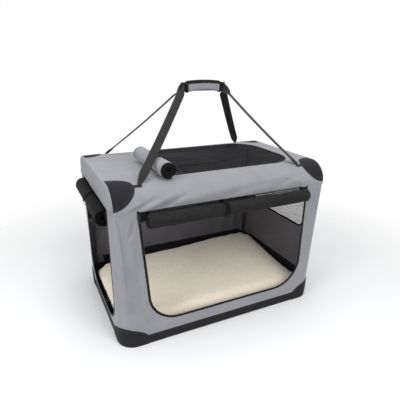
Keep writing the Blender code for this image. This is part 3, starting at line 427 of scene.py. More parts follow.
class Cloth:
    """Patches of a sheet, gathered into one mesh with thread places and wear on its points."""

    def __init__(self):
        self.points, self.thread, self.wear, self.faces = [], [], [], []

    def patch(self, points, thread, wear=None, wrap=False, flip=False):
        points = np.asarray(points, float)
        rows, columns = points.shape[:2]
        start = sum(len(block) for block in self.points)
        self.points.append(points.reshape(-1, 3))
        flat = np.zeros((rows * columns, 3))
        flat[:, :2] = np.asarray(thread, float).reshape(-1, 2)
        self.thread.append(flat)
        worn = np.zeros(rows * columns) if wear is None else np.broadcast_to(wear, (rows, columns))
        self.wear.append(np.asarray(worn, float).reshape(-1))
        index = start + np.arange(rows * columns).reshape(rows, columns)
        beside = np.roll(index, -1, axis=1) if wrap else index[:, 1:]
        here = index if wrap else index[:, :-1]
        quads = np.stack([here[:-1], beside[:-1], beside[1:], here[1:]], axis=-1).reshape(-1, 4)
        self.faces.append(quads[:, ::-1] if flip else quads)
        return self

    def mesh(self, name, merge):
        points = np.concatenate(self.points)
        mesh = bpy.data.meshes.new(name)
        mesh.from_pydata(points.tolist(), [], np.concatenate(self.faces).tolist())
        set_marks(mesh, np.concatenate(self.thread), np.concatenate(self.wear))
        if merge:
            shape = bmesh.new()
            shape.from_mesh(mesh)
            bmesh.ops.remove_doubles(shape, verts=shape.verts, dist=merge)
            bmesh.ops.dissolve_degenerate(shape, dist=merge / 2, edges=shape.edges)
            shape.to_mesh(mesh)
            shape.free()
        return mesh


def set_marks(mesh, thread, wear):
    marks = mesh.attributes.new("thread", "FLOAT_VECTOR", "POINT")
    marks.data.foreach_set("vector", np.asarray(thread, np.float32).reshape(-1))
    marks = mesh.attributes.new("wear", "FLOAT", "POINT")
    marks.data.foreach_set("value", np.asarray(wear, np.float32).reshape(-1))


def settle(piece):
    """Applies the piece's modifiers."""
    bpy.context.view_layer.update()
    whole = piece.evaluated_get(bpy.context.evaluated_depsgraph_get())
    mesh = bpy.data.meshes.new_from_object(whole)
    piece.modifiers.clear()
    old, piece.data = piece.data, mesh
    bpy.data.meshes.remove(old)
    mesh.name = piece.name


def link(name, shape, looks, body, slot, nodes=(), merge=1e-5, smooth=True):
    """Adds a piece from its cloth or mesh, and says what it rides on and what it replaces; its slot
    is not used.
    """
    mesh = shape.mesh(name, merge) if isinstance(shape, Cloth) else shape
    piece = bpy.data.objects.new(name, mesh)
    bpy.context.scene.collection.objects.link(piece)
    if smooth:
        mesh.shade_smooth()
    for look in looks:
        mesh.materials.append(MATERIALS[look])
    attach(piece, body)
    if nodes:
        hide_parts(*nodes)
    return piece


def link_seams(name, cloth, body, slot, look="thread_dark"):
    return link(name, cloth, [look], body, slot, merge=0)


def thicken(piece, thickness, offset=-1.0, lining=0, rim=0):
    """Gives a sheet its thickness, with other looks for its back and its rim."""
    sheet = piece.modifiers.new("cloth", "SOLIDIFY")
    sheet.thickness, sheet.offset = thickness, offset
    sheet.material_offset, sheet.material_offset_rim = lining, rim
    settle(piece)
    piece.data.set_sharp_from_angle(angle=math.radians(50))


def face_along(piece, outward):
    """Turns the piece's faces so that on the whole they look along outward."""
    outward = Vector(outward)
    if sum((face.normal * face.area).dot(outward) for face in piece.data.polygons) < 0:
        piece.data.flip_normals()


def reface(piece, upward=False):
    """Turns the piece's faces outward, or all of them together upward."""
    shape = bmesh.new()
    shape.from_mesh(piece.data)
    bmesh.ops.recalc_face_normals(shape, faces=shape.faces)
    if upward and sum(face.normal.z * face.calc_area() for face in shape.faces) < 0:
        bmesh.ops.reverse_faces(shape, faces=shape.faces)
    shape.to_mesh(piece.data)
    shape.free()


def fold_with_crate(piece):
    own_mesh(piece)


def unit(rows):
    return rows / np.linalg.norm(rows, axis=-1)[..., None]


def sweep_rows(places, sideways, outward, section):
    """Rows of a section carried along places; each section point is (sideways, outward)."""
    section = np.asarray(section, float)
    return np.array([p + np.outer(section[:, 0], s) + np.outer(section[:, 1], n)
                     for p, s, n in zip(places, sideways, outward)])


def lengths(places):
    """How far along the line of places each of them is."""
    steps = np.linalg.norm(np.diff(places, axis=0), axis=1)
    return np.concatenate([[0.0], np.cumsum(steps)])


def flat_lengths(section):
    return lengths(np.column_stack([section, 0 * section[:, 0]]))


def thread_places(run, across):
    """Places on the cloth for a section with offsets across, carried along run."""
    return np.stack(np.broadcast_arrays(run[:, None], across[None, :]), axis=-1)


def capped(rows, thread, wear, closed=False):
    """A closed tube through rows, with its ends filled unless it runs round on itself."""
    rows, thread = np.asarray(rows), np.asarray(thread)
    if closed:
        rows = np.concatenate([rows, rows[:1]])
        thread = np.concatenate([thread, thread[:1]])
    cloth = Cloth().patch(rows, thread, wear, wrap=True)
    for end, flip in () if closed else ((0, False), (-1, True)):
        ring = rows[end]
        inner = ring.mean(axis=0) + (ring - ring.mean(axis=0)) * 1e-3
        cloth.patch([inner, ring], [thread[end], thread[end]], wrap=True, flip=flip)
    return cloth


def flat_oval(half_w, half_t, count=12, power=0.55):
    turns = np.arange(count) * 2 * np.pi / count
    c, s = np.cos(turns), np.sin(turns)
    return np.stack([half_w * np.sign(c) * np.abs(c) ** power,
                     half_t * np.sign(s) * np.abs(s) ** power], axis=1)


def circle(radius, count=10):
    turns = np.arange(count) * 2 * np.pi / count
    return np.stack([radius * np.cos(turns), radius * np.sin(turns)], axis=1)


def smooth_step(value, low, high):
    share = np.clip((np.asarray(value, float) - low) / (high - low), 0, 1)
    return share * share * (3 - 2 * share)


# The surfaces of the walls and of the cover


WALLS = {"front": (HALF_X, HALF_Y), "rear": (HALF_X, HALF_Y),
         "left": (HALF_Y, HALF_X), "right": (HALF_Y, HALF_X)}


def corner_radius(z):
    share = np.clip(np.asarray(z, float) / WALL_TOP, 0, 1)
    return CORNER_R_BASE + (CORNER_R_TOP - CORNER_R_BASE) * share ** CORNER_POWER


def seen_from(side, along, away, z):
    """Along runs left to right as seen from outside."""
    x, y = {"front": (along, -away), "rear": (-along, away),
            "right": (away, along), "left": (-away, -along)}[side]
    return np.stack(np.broadcast_arrays(x, y, z), axis=-1)


def outward_of(side):
    return np.array(seen_from(side, 0.0, 1.0, 0.0), float)


def wall_reach(side, z):
    radius = corner_radius(z)
    return WALLS[side][0] - radius + radius * np.pi / 4


def on_wall(side, u, z, out=0.0):
    """A point on a wall, u metres sideways from its middle round towards the corner's seam."""
    half, depth = WALLS[side]
    u, z = np.asarray(u, float), np.asarray(z, float)
    radius = corner_radius(z)
    flat = half - radius
    turn = np.maximum(np.abs(u) - flat, 0) / radius
    along = np.sign(u) * (np.minimum(np.abs(u), flat) + (radius + out) * np.sin(turn))
    away = depth - radius + (radius + out) * np.cos(turn)
    return seen_from(side, along, away, z)


COVER_REACH = ROUND_Y + EDGE_R * np.pi / 2 + ROUND_Z - WALL_TOP - SEAM_GAP


def on_cover(x, v, out=0.0, inset=0.0):
    """A point on the cover: v runs from the front skirt's edge, below zero, over the top."""
    v = np.asarray(v, float)
    radius = EDGE_R + out - inset
    past = np.abs(v) - ROUND_Y
    turn = np.clip(past / EDGE_R, 0, np.pi / 2)
    drop = np.maximum(past - EDGE_R * np.pi / 2, 0)
    y = np.sign(v) * (np.minimum(np.abs(v), ROUND_Y) + radius * np.sin(turn))
    z = ROUND_Z + radius * np.cos(turn) - drop
    return np.stack(np.broadcast_arrays(x, y, z), axis=-1)


def cover_turn(v):
    """How far the cover has turned over its long edge at v, signed."""
    return np.sign(v) * np.clip((np.abs(v) - ROUND_Y) / EDGE_R, 0, np.pi / 2)


# Folds of the cloth: each is a line from a to b, with a half width and a depth (a rise if above 0)
FOLDS = (
    ((-0.368, -0.254, 0.458), (-0.3605, -0.254, 0.400), 0.0030, -0.0030),
    ((-0.3625, -0.254, 0.418), (-0.3534, -0.254, 0.290), 0.0028, -0.0040),
    ((-0.3540, -0.254, 0.310), (-0.3500, -0.254, 0.100), 0.0028, -0.0034),
    ((-0.3640, -0.254, 0.400), (-0.3600, -0.254, 0.180), 0.0060, 0.0024),
    ((-0.318, -0.254, 0.442), (-0.338, -0.254, 0.385), 0.0040, -0.0030),
    ((-0.335, -0.254, 0.440), (-0.322, -0.254, 0.250), 0.009, 0.0034),
    ((-0.358, -0.254, 0.380), (-0.349, -0.254, 0.060), 0.006, 0.0030),
    ((-0.312, -0.254, 0.452), (-0.335, -0.254, 0.385), 0.006, -0.0034),
    ((-0.318, -0.254, 0.300), (-0.296, -0.254, 0.120), 0.007, -0.0028),
    ((-0.345, -0.254, 0.210), (-0.290, -0.254, 0.075), 0.006, 0.0026),
    ((-0.350, -0.251, 0.474), (-0.285, -0.249, 0.492), 0.006, 0.0034),
    ((-0.330, -0.253, 0.466), (-0.240, -0.247, 0.500), 0.007, -0.0038),
    ((-0.290, -0.254, 0.468), (-0.170, -0.243, 0.508), 0.008, 0.0034),
    ((-0.230, -0.253, 0.470), (-0.140, -0.246, 0.500), 0.006, -0.0030),
    ((-0.180, -0.250, 0.478), (0.060, -0.243, 0.508), 0.012, 0.0024),
    ((-0.040, -0.253, 0.474), (0.160, -0.246, 0.500), 0.009, -0.0020),
    ((0.120, -0.246, 0.500), (0.300, -0.222, 0.529), 0.011, 0.0026),
    ((0.170, -0.252, 0.480), (0.320, -0.235, 0.518), 0.008, -0.0024),
    ((0.262, -0.228, 0.524), (0.335, -0.254, 0.455), 0.007, -0.0036),
    ((0.285, -0.232, 0.520), (0.352, -0.254, 0.440), 0.006, 0.0034),
    ((0.310, -0.240, 0.512), (0.362, -0.254, 0.430), 0.006, -0.0036),
    ((0.338, -0.252, 0.470), (0.362, -0.254, 0.380), 0.006, 0.0030),
    ((0.200, -0.236, 0.515), (0.290, -0.252, 0.478), 0.008, 0.0030),
    ((0.345, -0.254, 0.430), (0.338, -0.254, 0.250), 0.008, -0.0022),
    ((0.352, -0.254, 0.330), (0.345, -0.254, 0.110), 0.007, 0.0020),
    ((-0.300, -0.254, 0.060), (-0.120, -0.254, 0.052), 0.009, 0.0016),
    ((-0.060, -0.254, 0.058), (0.190, -0.254, 0.066), 0.009, -0.0016),
    ((-0.370, 0.254, 0.440), (-0.345, 0.254, 0.300), 0.008, -0.0024),
    ((0.300, 0.254, 0.255), (0.292, 0.254, 0.100), 0.006, 0.0040),
    ((0.322, 0.254, 0.262), (0.316, 0.254, 0.095), 0.006, -0.0040),
    ((0.340, 0.254, 0.262), (0.338, 0.254, 0.100), 0.005, 0.0036),
    ((0.270, 0.254, 0.250), (0.262, 0.254, 0.110), 0.008, -0.0030),
    ((0.340, 0.254, 0.450), (0.352, 0.254, 0.220), 0.008, 0.0024),
    ((0.200, 0.254, 0.225), (-0.050, 0.254, 0.120), 0.014, 0.0030),
    ((0.120, 0.254, 0.240), (-0.160, 0.254, 0.140), 0.010, -0.0026),
    ((-0.200, 0.254, 0.230), (-0.330, 0.254, 0.090), 0.013, 0.0030),
    ((0.310, 0.254, 0.250), (0.220, 0.254, 0.070), 0.012, -0.0028),
    ((0.381, -0.180, 0.235), (0.381, 0.040, 0.110), 0.013, 0.0030),
    ((0.381, 0.190, 0.240), (0.381, 0.060, 0.090), 0.012, -0.0028),
    ((0.381, -0.215, 0.430), (0.381, -0.205, 0.260), 0.008, 0.0020),
    ((-0.381, 0.215, 0.430), (-0.381, 0.222, 0.150), 0.007, -0.0022),
    ((-0.381, -0.214, 0.440), (-0.381, -0.224, 0.170), 0.007, 0.0022),
    ((-0.381, -0.100, 0.500), (-0.381, 0.120, 0.478), 0.010, 0.0022),
)


def fold_push(points):
    total = np.zeros(points.shape[:-1])
    for a, b, width, depth in FOLDS:
        a, b = np.array(a), np.array(b)
        run = b - a
        share = ((points - a) @ run) / (run @ run)
        near = a + np.clip(share, 0, 1)[..., None] * run
        away = np.linalg.norm(points - near, axis=-1) / width
        taper = smooth_step(share, -0.05, 0.25) * smooth_step(1 - share, -0.05, 0.25)
        total += depth * np.exp(-away ** 2) * taper
    return total


def soft_push(points, scale=9.0, seed=3.0):
    flat = points.reshape(-1, 3)
    values = [noise.noise(Vector((p[0] * scale + seed, p[1] * scale, p[2] * scale * 0.7)))
              + 0.45 * noise.noise(Vector((p[0] * scale * 2.6, p[1] * scale * 2.6 + seed,
                                           p[2] * scale * 1.7))) for p in flat]
    return np.array(values).reshape(points.shape[:-1])


def cloth_push(points, amount=0.0017):
    return amount * soft_push(points) + fold_push(points)


# Openings: the border is walked in shares of the sheet's half sizes, and each of its points looks
# back to the opening


def door_marks(step=0.005):
    down, over = round(0.44 / step), round(0.76 / step)
    left = [(-1.0, -n / down) for n in range(down)]
    base = [(2.0 * n / over - 1.0, -1.0) for n in range(over)]
    right = [(1.0, n / down - 1.0) for n in range(down + 1)]
    return np.array(left + base + right)


def ring_marks(wide, high, step):
    across, up = 2 * round(wide / step / 2), 2 * round(high / step / 2)
    base = [(2.0 * n / across - 1.0, -1.0) for n in range(across)]
    right = [(1.0, 2.0 * n / up - 1.0) for n in range(up)]
    top = [(1.0 - 2.0 * n / across, 1.0) for n in range(across)]
    left = [(-1.0, 1.0 - 2.0 * n / up) for n in range(up)]
    return np.array(base + right + top + left)


def opening_edge(marks, half, deep, r_left, r_right=None):
    """The opening's outline where the rays of marks meet it, about its own middle."""
    r_right = r_left if r_right is None else r_right
    points = marks * (half, deep)
    radius = np.where(points[:, 0] < 0, r_left, r_right)
    centre = np.stack([np.sign(points[:, 0]) * (half - radius),
                       np.sign(points[:, 1]) * (deep - radius)], axis=1)
    inside = (np.abs(points[:, 0]) > half - radius) & (np.abs(points[:, 1]) > deep - radius)
    pc = (points * centre).sum(axis=1)
    pp = (points ** 2).sum(axis=1)
    cc = (centre ** 2).sum(axis=1)
    root = np.sqrt(np.maximum(pc ** 2 - pp * (cc - radius ** 2), 0))
    share = np.where(inside, (pc + root) / pp, 1.0)
    return points * share[:, None]


def rounded_share(x, y, half, deep, r_left, r_right=None):
    """The share that pulls a full rectangle's point in, so that its rim becomes the outline."""
    norm = np.maximum(np.maximum(np.abs(x) / half, np.abs(y) / deep), 1e-9)
    marks = np.stack([(x / half / norm).reshape(-1), (y / deep / norm).reshape(-1)], axis=1)
    edge = opening_edge(marks, half, deep, r_left, r_right)
    full = marks * (half, deep)
    share = np.linalg.norm(edge, axis=1) / np.maximum(np.linalg.norm(full, axis=1), 1e-9)
    return 1 - (1 - share.reshape(x.shape)) * norm ** 3


def rounded_grid(xs, ys, half, deep, r_left, r_right=None):
    x, y = np.meshgrid(xs, ys)
    share = rounded_share(x, y, half, deep, r_left, r_right)
    return x * share, y * share


def wall_cloth(side, marks, opening, middle, low, high, rows):
    """A wall round its opening: (u, z) for each mark, and middle is the marks' height zero."""
    w_open = opening[:, 0] / wall_reach(side, opening[:, 1])
    reach = np.where(marks[:, 1] < 0, middle - low, high - middle)
    z_edge = middle + marks[:, 1] * reach
    shares = np.linspace(0, 1, rows)[:, None]
    w = w_open + (marks[:, 0] - w_open) * shares
    z = opening[:, 1] + (z_edge - opening[:, 1]) * shares
    u = w * wall_reach(side, z)
    base = on_wall(side, u, z)
    gap = np.linalg.norm(base - base[:1], axis=-1)
    # Flat at the opening, the foot and the seam, and never out under the bottom guards
    fade = smooth_step(gap, 0.004, 0.030) * smooth_step(z, low, low + 0.045)
    to_seam = wall_reach(side, z) - np.abs(u)
    fade = fade * smooth_step(to_seam, 0.0, 0.020)
    push = cloth_push(base) * fade
    under_guard = smooth_step(z, 0.080, 0.095) + smooth_step(to_seam, 0.080, 0.100)
    push = np.where(push > 0, push * np.clip(under_guard, 0, 1), push)
    # The top edge tucks in behind the cover's skirt
    tucked = smooth_step(z, WALL_TOP - 0.0001, WALL_TOP + 0.0009)
    push = push * (1 - tucked) - 0.0019 * tucked
    wear = smooth_step(0.02 - to_seam, 0, 0.02) * 0.6
    return on_wall(side, u, z, push), np.stack([u, z], axis=-1), wear


def add_wall(side, marks, opening, middle, rows, wrap):
    """A wall, its lining, and the dark band along the lining's foot."""
    top = WALL_TOP + TUCK
    points, thread, wear = wall_cloth(side, marks, opening, middle, WALL_LOW, top, rows)
    cloth = Cloth().patch(points, thread, wear, wrap=wrap, flip=True)
    wall = link(f"{side}_wall_cloth", cloth, ["grey", "lining", "dark"], "base", "cover_cloth",
                [f"{side}_wall"])
    face_along(wall, outward_of(side))
    thicken(wall, CLOTH, lining=1)
    for face in wall.data.polygons:
        low = LINING_BANDS[side] if face.center.x > LEFT_BAND_X else LEFT_BAND
        if face.material_index == 1 and face.center.z < low:
            face.material_index = 2
    fold_with_crate(wall)


def window_outline(side, grow):
    half = WINDOWS[side]
    marks = ring_marks(2 * half, HEAD - SILL, 0.005)
    ring = opening_edge(marks, half + grow, WINDOW_DEEP + grow, WINDOW_R + grow)
    return marks, ring + (0.0, WINDOW_Z)


def door_outline(side, grow, top):
    """A doorway's outline as (u, z), whose left side leans in towards its foot."""
    half, sill, lean = DOORS[side]
    marks = door_marks()
    ring = opening_edge(marks, half + grow, top - sill + grow, DOOR_R + grow) + (0.0, top)
    down = np.minimum((WALL_TOP - ring[:, 1]) / (WALL_TOP - sill - DOOR_R), 1.0)
    leftward = np.clip((half - DOOR_R - ring[:, 0]) / (2 * (half - DOOR_R)), 0, 1)
    ring[:, 0] += lean * down * leftward
    return marks, ring


def add_walls():
    top = WALL_TOP + TUCK
    for side, rows in (("front", 44), ("left", 24)):
        marks, ring = door_outline(side, TAPE_LAP, top)
        add_wall(side, marks, ring, top, rows, wrap=False)
    for side in WINDOWS:
        marks, ring = window_outline(side, TAPE_LAP)
        add_wall(side, marks, ring, WINDOW_Z, 30, wrap=True)


# Bindings, zips, netting and stitches


def beside_line(points, outward, closed=False):
    """For a line of points, the direction beside it in the sheet."""
    if closed:
        along = np.roll(points, -1, axis=0) - np.roll(points, 1, axis=0)
    else:
        along = np.gradient(points, axis=0)
    return unit(np.cross(outward, unit(along)))


def resample(points, step, closed=False):
    points = np.asarray(points, float)
    if closed:
        points = np.concatenate([points, points[:1]])
    run = lengths(points)
    count = max(round(run[-1] / step), 2)
    marks = np.linspace(0, run[-1], count + 1)
    even = np.stack([np.interp(marks, run, points[:, k]) for k in range(3)], axis=1)
    return even[:-1] if closed else even


def tape_along(points, outward, closed, ripple=0.0003):
    """A tape folded over an edge, along points, with its flat side facing outward."""
    outward = np.broadcast_to(outward, points.shape)
    beside = beside_line(points, outward, closed)
    run = np.arange(len(points)) * np.linalg.norm(points[1] - points[0])
    wave = ripple * np.sin(run * 310.0) + ripple * np.sin(run * 127.0 + 1.0)
    section = flat_oval(TAPE_W / 2, TAPE_T)
    rows = sweep_rows(points + outward * (wave[:, None] * 0.4), beside, outward, section)
    rows += (wave[:, None] * 0.6)[..., None] * beside[:, None, :]
    wear = 0.5 * (np.abs(section[:, 0]) / (TAPE_W / 2)) ** 4
    return capped(rows, thread_places(run, section[:, 0]), wear, closed)


def steps_along(points, outward, lift, pitch):
    """Even places along points, each with its direction, the one beside it and its normal."""
    points = np.asarray(points, float)
    run = lengths(points)
    outward = np.broadcast_to(outward, points.shape)

    def at(values, where):
        return np.array([np.interp(where, run, values[:, k]) for k in range(3)])

    for n in range(int(run[-1] / pitch)):
        where = (n + 0.5) * pitch
        place, normal = at(points, where), at(outward, where)
        along = at(points, where + 0.001) - place
        along = along / max(np.linalg.norm(along), 1e-9)
        yield place + normal * lift, along, np.cross(normal, along), normal


def stitch_line(cloth, points, outward, lift, pitch=0.0042, length=0.0030, width=0.0009):
    """Separate stitches along points; each is a small lens half sunk in the cloth."""
    for place, along, side, normal in steps_along(points, outward, lift, pitch):
        ring = np.array([place - side * width / 2, place + normal * width * 0.45,
                         place + side * width / 2, place - normal * width * 0.45])
        tips = [place + along * reach + (ring - place) * 0.05
                for reach in (-length / 2, length / 2)]
        rows = [tips[0], ring - along * length * 0.28, ring + along * length * 0.28, tips[1]]
        cloth.patch(rows, np.zeros((4, 4, 2)), wrap=True)


def zip_teeth(cloth, points, outward, lift, pitch=0.0022, size=(0.0012, 0.0030, 0.0016)):
    """One row of teeth along points, each a small block leaning over the tape's edge."""
    for place, along, side, normal in steps_along(points, outward, lift, pitch):
        a, s, t = along * size[0] / 2, side * size[1] / 2, normal * size[2] / 2
        rows = [[place - a * k + s * end - t * k, place + a * k + s * end - t * k,
                 place + a * k + s * end + t * k, place - a * k + s * end + t * k]
                for end, k in ((-1, 0.02), (-1, 1.0), (1, 1.0), (1, 0.02))]
        cloth.patch(rows, np.zeros((4, 4, 2)), wrap=True)


def in_cloth(side, ring):
    """A flat outline of (u, z) on a wall, halfway through its cloth."""
    away = WALLS[side][1] - CLOTH / 2 + 0 * ring[:, 0]
    return seen_from(side, ring[:, 0], away, ring[:, 1])


def add_tape(side, kind, ring, closed):
    line = resample(in_cloth(side, ring), 0.006, closed)
    tape = link(f"{side}_{kind}_tape", tape_along(line, outward_of(side), closed), ["tape"],
                "base", "binding_tape", [f"{side}_{kind}_binding"])
    fold_with_crate(tape)


def add_openings():
    """The doorways' and windows' tapes, stitches and zip teeth, and the windows' netting."""
    seams, teeth = Cloth(), Cloth()
    for side in DOORS:
        outward = outward_of(side)
        _, ring = door_outline(side, TAPE_W / 2, WALL_TOP + 0.004)
        add_tape(side, "door", ring, False)
        _, ring = door_outline(side, TAPE_SEAM, WALL_TOP - 0.002)
        stitch_line(seams, in_cloth(side, ring), outward, STITCH_LIFT)
        _, ring = door_outline(side, 0.0002, WALL_TOP - 0.004)
        zip_teeth(teeth, in_cloth(side, ring), outward, 0.0004)
    for side in WINDOWS:
        _, ring = window_outline(side, TAPE_W / 2)
        add_tape(side, "window", ring, True)
        for grow in (0.0014, TAPE_SEAM):
            _, ring = window_outline(side, grow)
            closed = np.concatenate([ring, ring[:1]])
            stitch_line(seams, in_cloth(side, closed), outward_of(side), STITCH_LIFT)
        add_net(side)
    fold_with_crate(link_seams("wall_stitches", seams, "base", "binding_tape"))
    fold_with_crate(link("door_zip_teeth", teeth, ["coil"], "base", "zip_metal", merge=0,
                         smooth=False))


def add_corner_tabs():
    """Black tabs sewn across the front doorway's upper corners, from which its door hangs."""
    for name, left, right, low, high in (("left", -0.3035, -0.272, 0.432, 0.4665),
                                         ("right", 0.2745, 0.3035, 0.446, 0.4695)):
        x, z = np.meshgrid(np.linspace(left, right, 9), np.linspace(low, high, 9))
        place = seen_from("front", x, HALF_Y - 0.0002, z)
        inner = (x - left) / (right - left) if name == "left" else (right - x) / (right - left)
        place[..., 2] += 0.010 * inner * (high - z) / (high - low)
        cloth = Cloth().patch(place, np.stack([x, z], axis=-1))
        tab = link(f"door_tab_{name}", cloth, ["tape"], "base", "binding_tape")
        thicken(tab, GUARD_CLOTH, offset=0.0)
        fold_with_crate(tab)


def add_net(side):
    """A window's netting, a little slack in its middle."""
    half, deep = WINDOWS[side] + NET_LAP, WINDOW_DEEP + NET_LAP
    us = np.linspace(-half, half, round(2 * WINDOWS[side] / 0.012))
    zs = np.linspace(SILL - NET_LAP, HEAD + NET_LAP, 84)
    u, up = rounded_grid(us, zs - WINDOW_Z, half, deep, WINDOW_R + NET_LAP)
    z = WINDOW_Z + up
    slack = (1 - (u / half) ** 2) * (1 - ((z - WINDOW_Z) / deep) ** 2)
    place = on_wall(side, u, z)
    ripple = 0.0012 * np.sin(z * 520.0 + 2.2 * soft_push(place, 5.0, 2.0))
    push = np.clip(slack, 0, 1) ** 0.5 * (0.0016 * soft_push(place, 9.0, 8.0) + ripple - 0.001)
    points = seen_from(side, u, WALLS[side][1] - CLOTH / 2 + push, z)
    net = link(f"{side}_window_net", Cloth().patch(points, np.stack([u, z], axis=-1)),
               ["rear_net" if side == "rear" else "net"], "base", "window_mesh",
               [f"{side}_window_mesh"])
    thicken(net, 0.00012, offset=0.0)
    fold_with_crate(net)


# The top cover


def guard_share(x, v, x_side, y_side):
    """How far out a point of the cover is from a guard's middle, in shares of the guard."""
    turn = cover_turn(v) * y_side
    flat = np.maximum(ROUND_Y - np.abs(v), 0) * np.sign(v * y_side) * math.cos(GUARD_TILT)
    across = EDGE_R * np.sin(turn - GUARD_TILT) - np.where(np.abs(v) < ROUND_Y, flat, 0)
    across = np.where(v * y_side > 0, across, -1.0)
    return np.hypot((x * x_side - SEAM_X) / GUARD_REACH, across / GUARD_HALF)


def cover_push(x, v, points):
    """The cover's folds, held back under what is sewn or laid on it, never down on the rails."""
    push = cloth_push(points)
    on_top = 1 - smooth_step(np.abs(v), ROUND_Y - 0.01, ROUND_Y + 0.03)
    # Flat under the guards, the straps' feet and the flap's roll
    held = np.ones_like(push)
    for _, x_side, _, y_side in CORNERS:
        held = held * smooth_step(guard_share(x, v, x_side, y_side), 1.0, 1.3)
        strap = np.maximum(np.abs(x - x_side * STRAP_X) - 0.018, 0)
        across = np.maximum(np.abs(v - y_side * (ROUND_Y + 0.022)) - 0.042, 0)
        held = held * smooth_step(np.hypot(strap, across), 0.002, 0.016)
    roll = np.maximum(np.abs(x - FLAP_X) - 0.030, 0) + np.maximum(np.abs(v + 0.075) - 0.15, 0)
    held = held * smooth_step(roll, 0.0, 0.02)
    up = np.maximum(push, 0) * 0.9
    return (on_top * up + (1 - on_top) * push) * held


def end_radius(v):
    """The cover's radius round its end seam, wider at the skirt, where the walls' corners are."""
    return 0.006 + 0.006 * smooth_step(np.abs(v), COVER_REACH - 0.045, COVER_REACH)


def top_opening(marks, grow):
    """The top window's outline where the rays of marks meet it, in the cover's (x, v)."""
    ring = opening_edge(marks, TOP_HALF_X + grow, TOP_HALF_Y + grow, TOP_R_LEFT + grow,
                        TOP_R_RIGHT + grow)
    return ring + (TOP_X, 0.0)


def add_cover():
    """The cover round its window, with its two end panels."""
    marks = ring_marks(0.76, 0.62, 0.0055)
    x_open, v_open = top_opening(marks, TAPE_LAP).T
    w_open = x_open / (HALF_X - end_radius(v_open))
    shares = np.linspace(0, 1, 34)[:, None]
    v = v_open + (marks[:, 1] * COVER_REACH - v_open) * shares
    w = w_open + (marks[:, 0] - w_open) * shares
    x = w * (HALF_X - end_radius(v))
    base = on_cover(x, v)
    gap = np.linalg.norm(base - base[:1], axis=-1)
    to_seam = HALF_X - end_radius(v) - np.abs(x)
    fade = smooth_step(gap, 0.004, 0.03) * smooth_step(to_seam, 0.0, 0.02)
    points = on_cover(x, v, cover_push(x, v, base) * fade)
    wear = 0.8 * smooth_step(0.012 - to_seam, 0, 0.012)
    cloth = Cloth().patch(points, np.stack([x, v], axis=-1), wear, wrap=True, flip=True)
    vs = np.linspace(-COVER_REACH, COVER_REACH, 2 * round(0.62 / 0.0055 / 2) + 1)
    for end in (-1, 1):
        add_end(cloth, end, vs)
    cover = link("top_cover_cloth", cloth, ["grey", "lining"], "top", "cover_cloth",
                 ["top_cover"], merge=2e-5)
    reface(cover, upward=True)
    thicken(cover, CLOTH, lining=1)


def add_end(cloth, end, vs):
    """The fillet round an end seam, and the end panel below it."""
    radius = end_radius(vs)
    rows = []
    for turn in np.linspace(0, 1, 6) * np.pi / 2:
        x = end * (HALF_X - radius + radius * np.sin(turn))
        rows.append(on_cover(x, vs, 0.0, radius * (1 - np.cos(turn))))
    rim = rows[-1]
    thread = [np.stack([end * (HALF_X + 0.002 * n) + 0 * vs, vs], axis=-1) for n in range(6)]
    cloth.patch(rows, thread, np.full((6, len(vs)), 0.8), flip=end > 0)
    low, levels = WALL_TOP + SEAM_GAP, 14
    panel = []
    for n in range(levels + 1):
        z = rim[:, 2] + (low - rim[:, 2]) * n / levels
        base = np.stack([rim[:, 0], rim[:, 1], z], axis=-1)
        push = cloth_push(base) * smooth_step(rim[:, 2] - z, 0.0, 0.02)
        base[:, 0] += end * (push * smooth_step(HALF_Y - np.abs(rim[:, 1]), 0.008, 0.03))
        panel.append(base)
    cloth.patch(panel, [base[:, 1:] for base in panel], flip=end > 0)


def add_top_window():
    """The top window's tape, stitches and netting."""
    marks = ring_marks(2 * TOP_HALF_X, 2 * TOP_HALF_Y, 0.005)
    level = HEIGHT - CLOTH / 2
    up = np.array((0.0, 0.0, 1.0))

    def outline(grow):
        x, v = top_opening(marks, grow).T
        return np.stack([x, v, 0 * x + level], axis=-1)

    line = resample(outline(TAPE_W / 2), 0.006, closed=True)
    link("top_window_tape", tape_along(line, up, True), ["tape"], "top", "binding_tape",
         ["top_window_binding"])
    seams = Cloth()
    seam = outline(TAPE_SEAM)
    stitch_line(seams, np.concatenate([seam, seam[:1]]), up, STITCH_LIFT)
    link_seams("top_window_stitches", seams, "top", "binding_tape")
    half, deep = TOP_HALF_X + NET_LAP, TOP_HALF_Y + NET_LAP
    x, y = rounded_grid(np.linspace(-half, half, 44), np.linspace(-deep, deep, 32), half, deep,
                        TOP_R_LEFT + NET_LAP, TOP_R_RIGHT + NET_LAP)
    slack = np.clip((1 - (x / TOP_HALF_X) ** 2) * (1 - (y / TOP_HALF_Y) ** 2), 0, 1)
    base = np.stack([x + TOP_X, y, 0 * x + level], axis=-1)
    base[..., 2] += slack * (0.0020 * soft_push(base, 10.0, 5.0) + 0.0022)
    net = link("top_window_net", Cloth().patch(base, base[..., :2]), ["top_net"], "top",
               "window_mesh", ["top_window_mesh"])
    thicken(net, 0.0008, offset=0.0)


def guard_places(x_side, y_side, shares, turns, out):
    """Points of a top guard: shares run from its middle to its edge, turns front to back."""
    share, turn = np.meshgrid(shares, turns, indexing="ij")
    x = SEAM_X - GUARD_REACH * share * np.cos(turn)
    across = GUARD_HALF * share * np.sin(turn)
    over = np.arcsin(np.clip(across / EDGE_R, -1, 1)) + GUARD_TILT
    flat = (-across - EDGE_R * math.sin(GUARD_TILT)) / math.cos(GUARD_TILT)
    v = np.where(over > 0, ROUND_Y + EDGE_R * np.maximum(over, 0), ROUND_Y - np.maximum(flat, 0))
    return on_cover(x_side * x, y_side * v, out), np.stack([x, v], axis=-1)


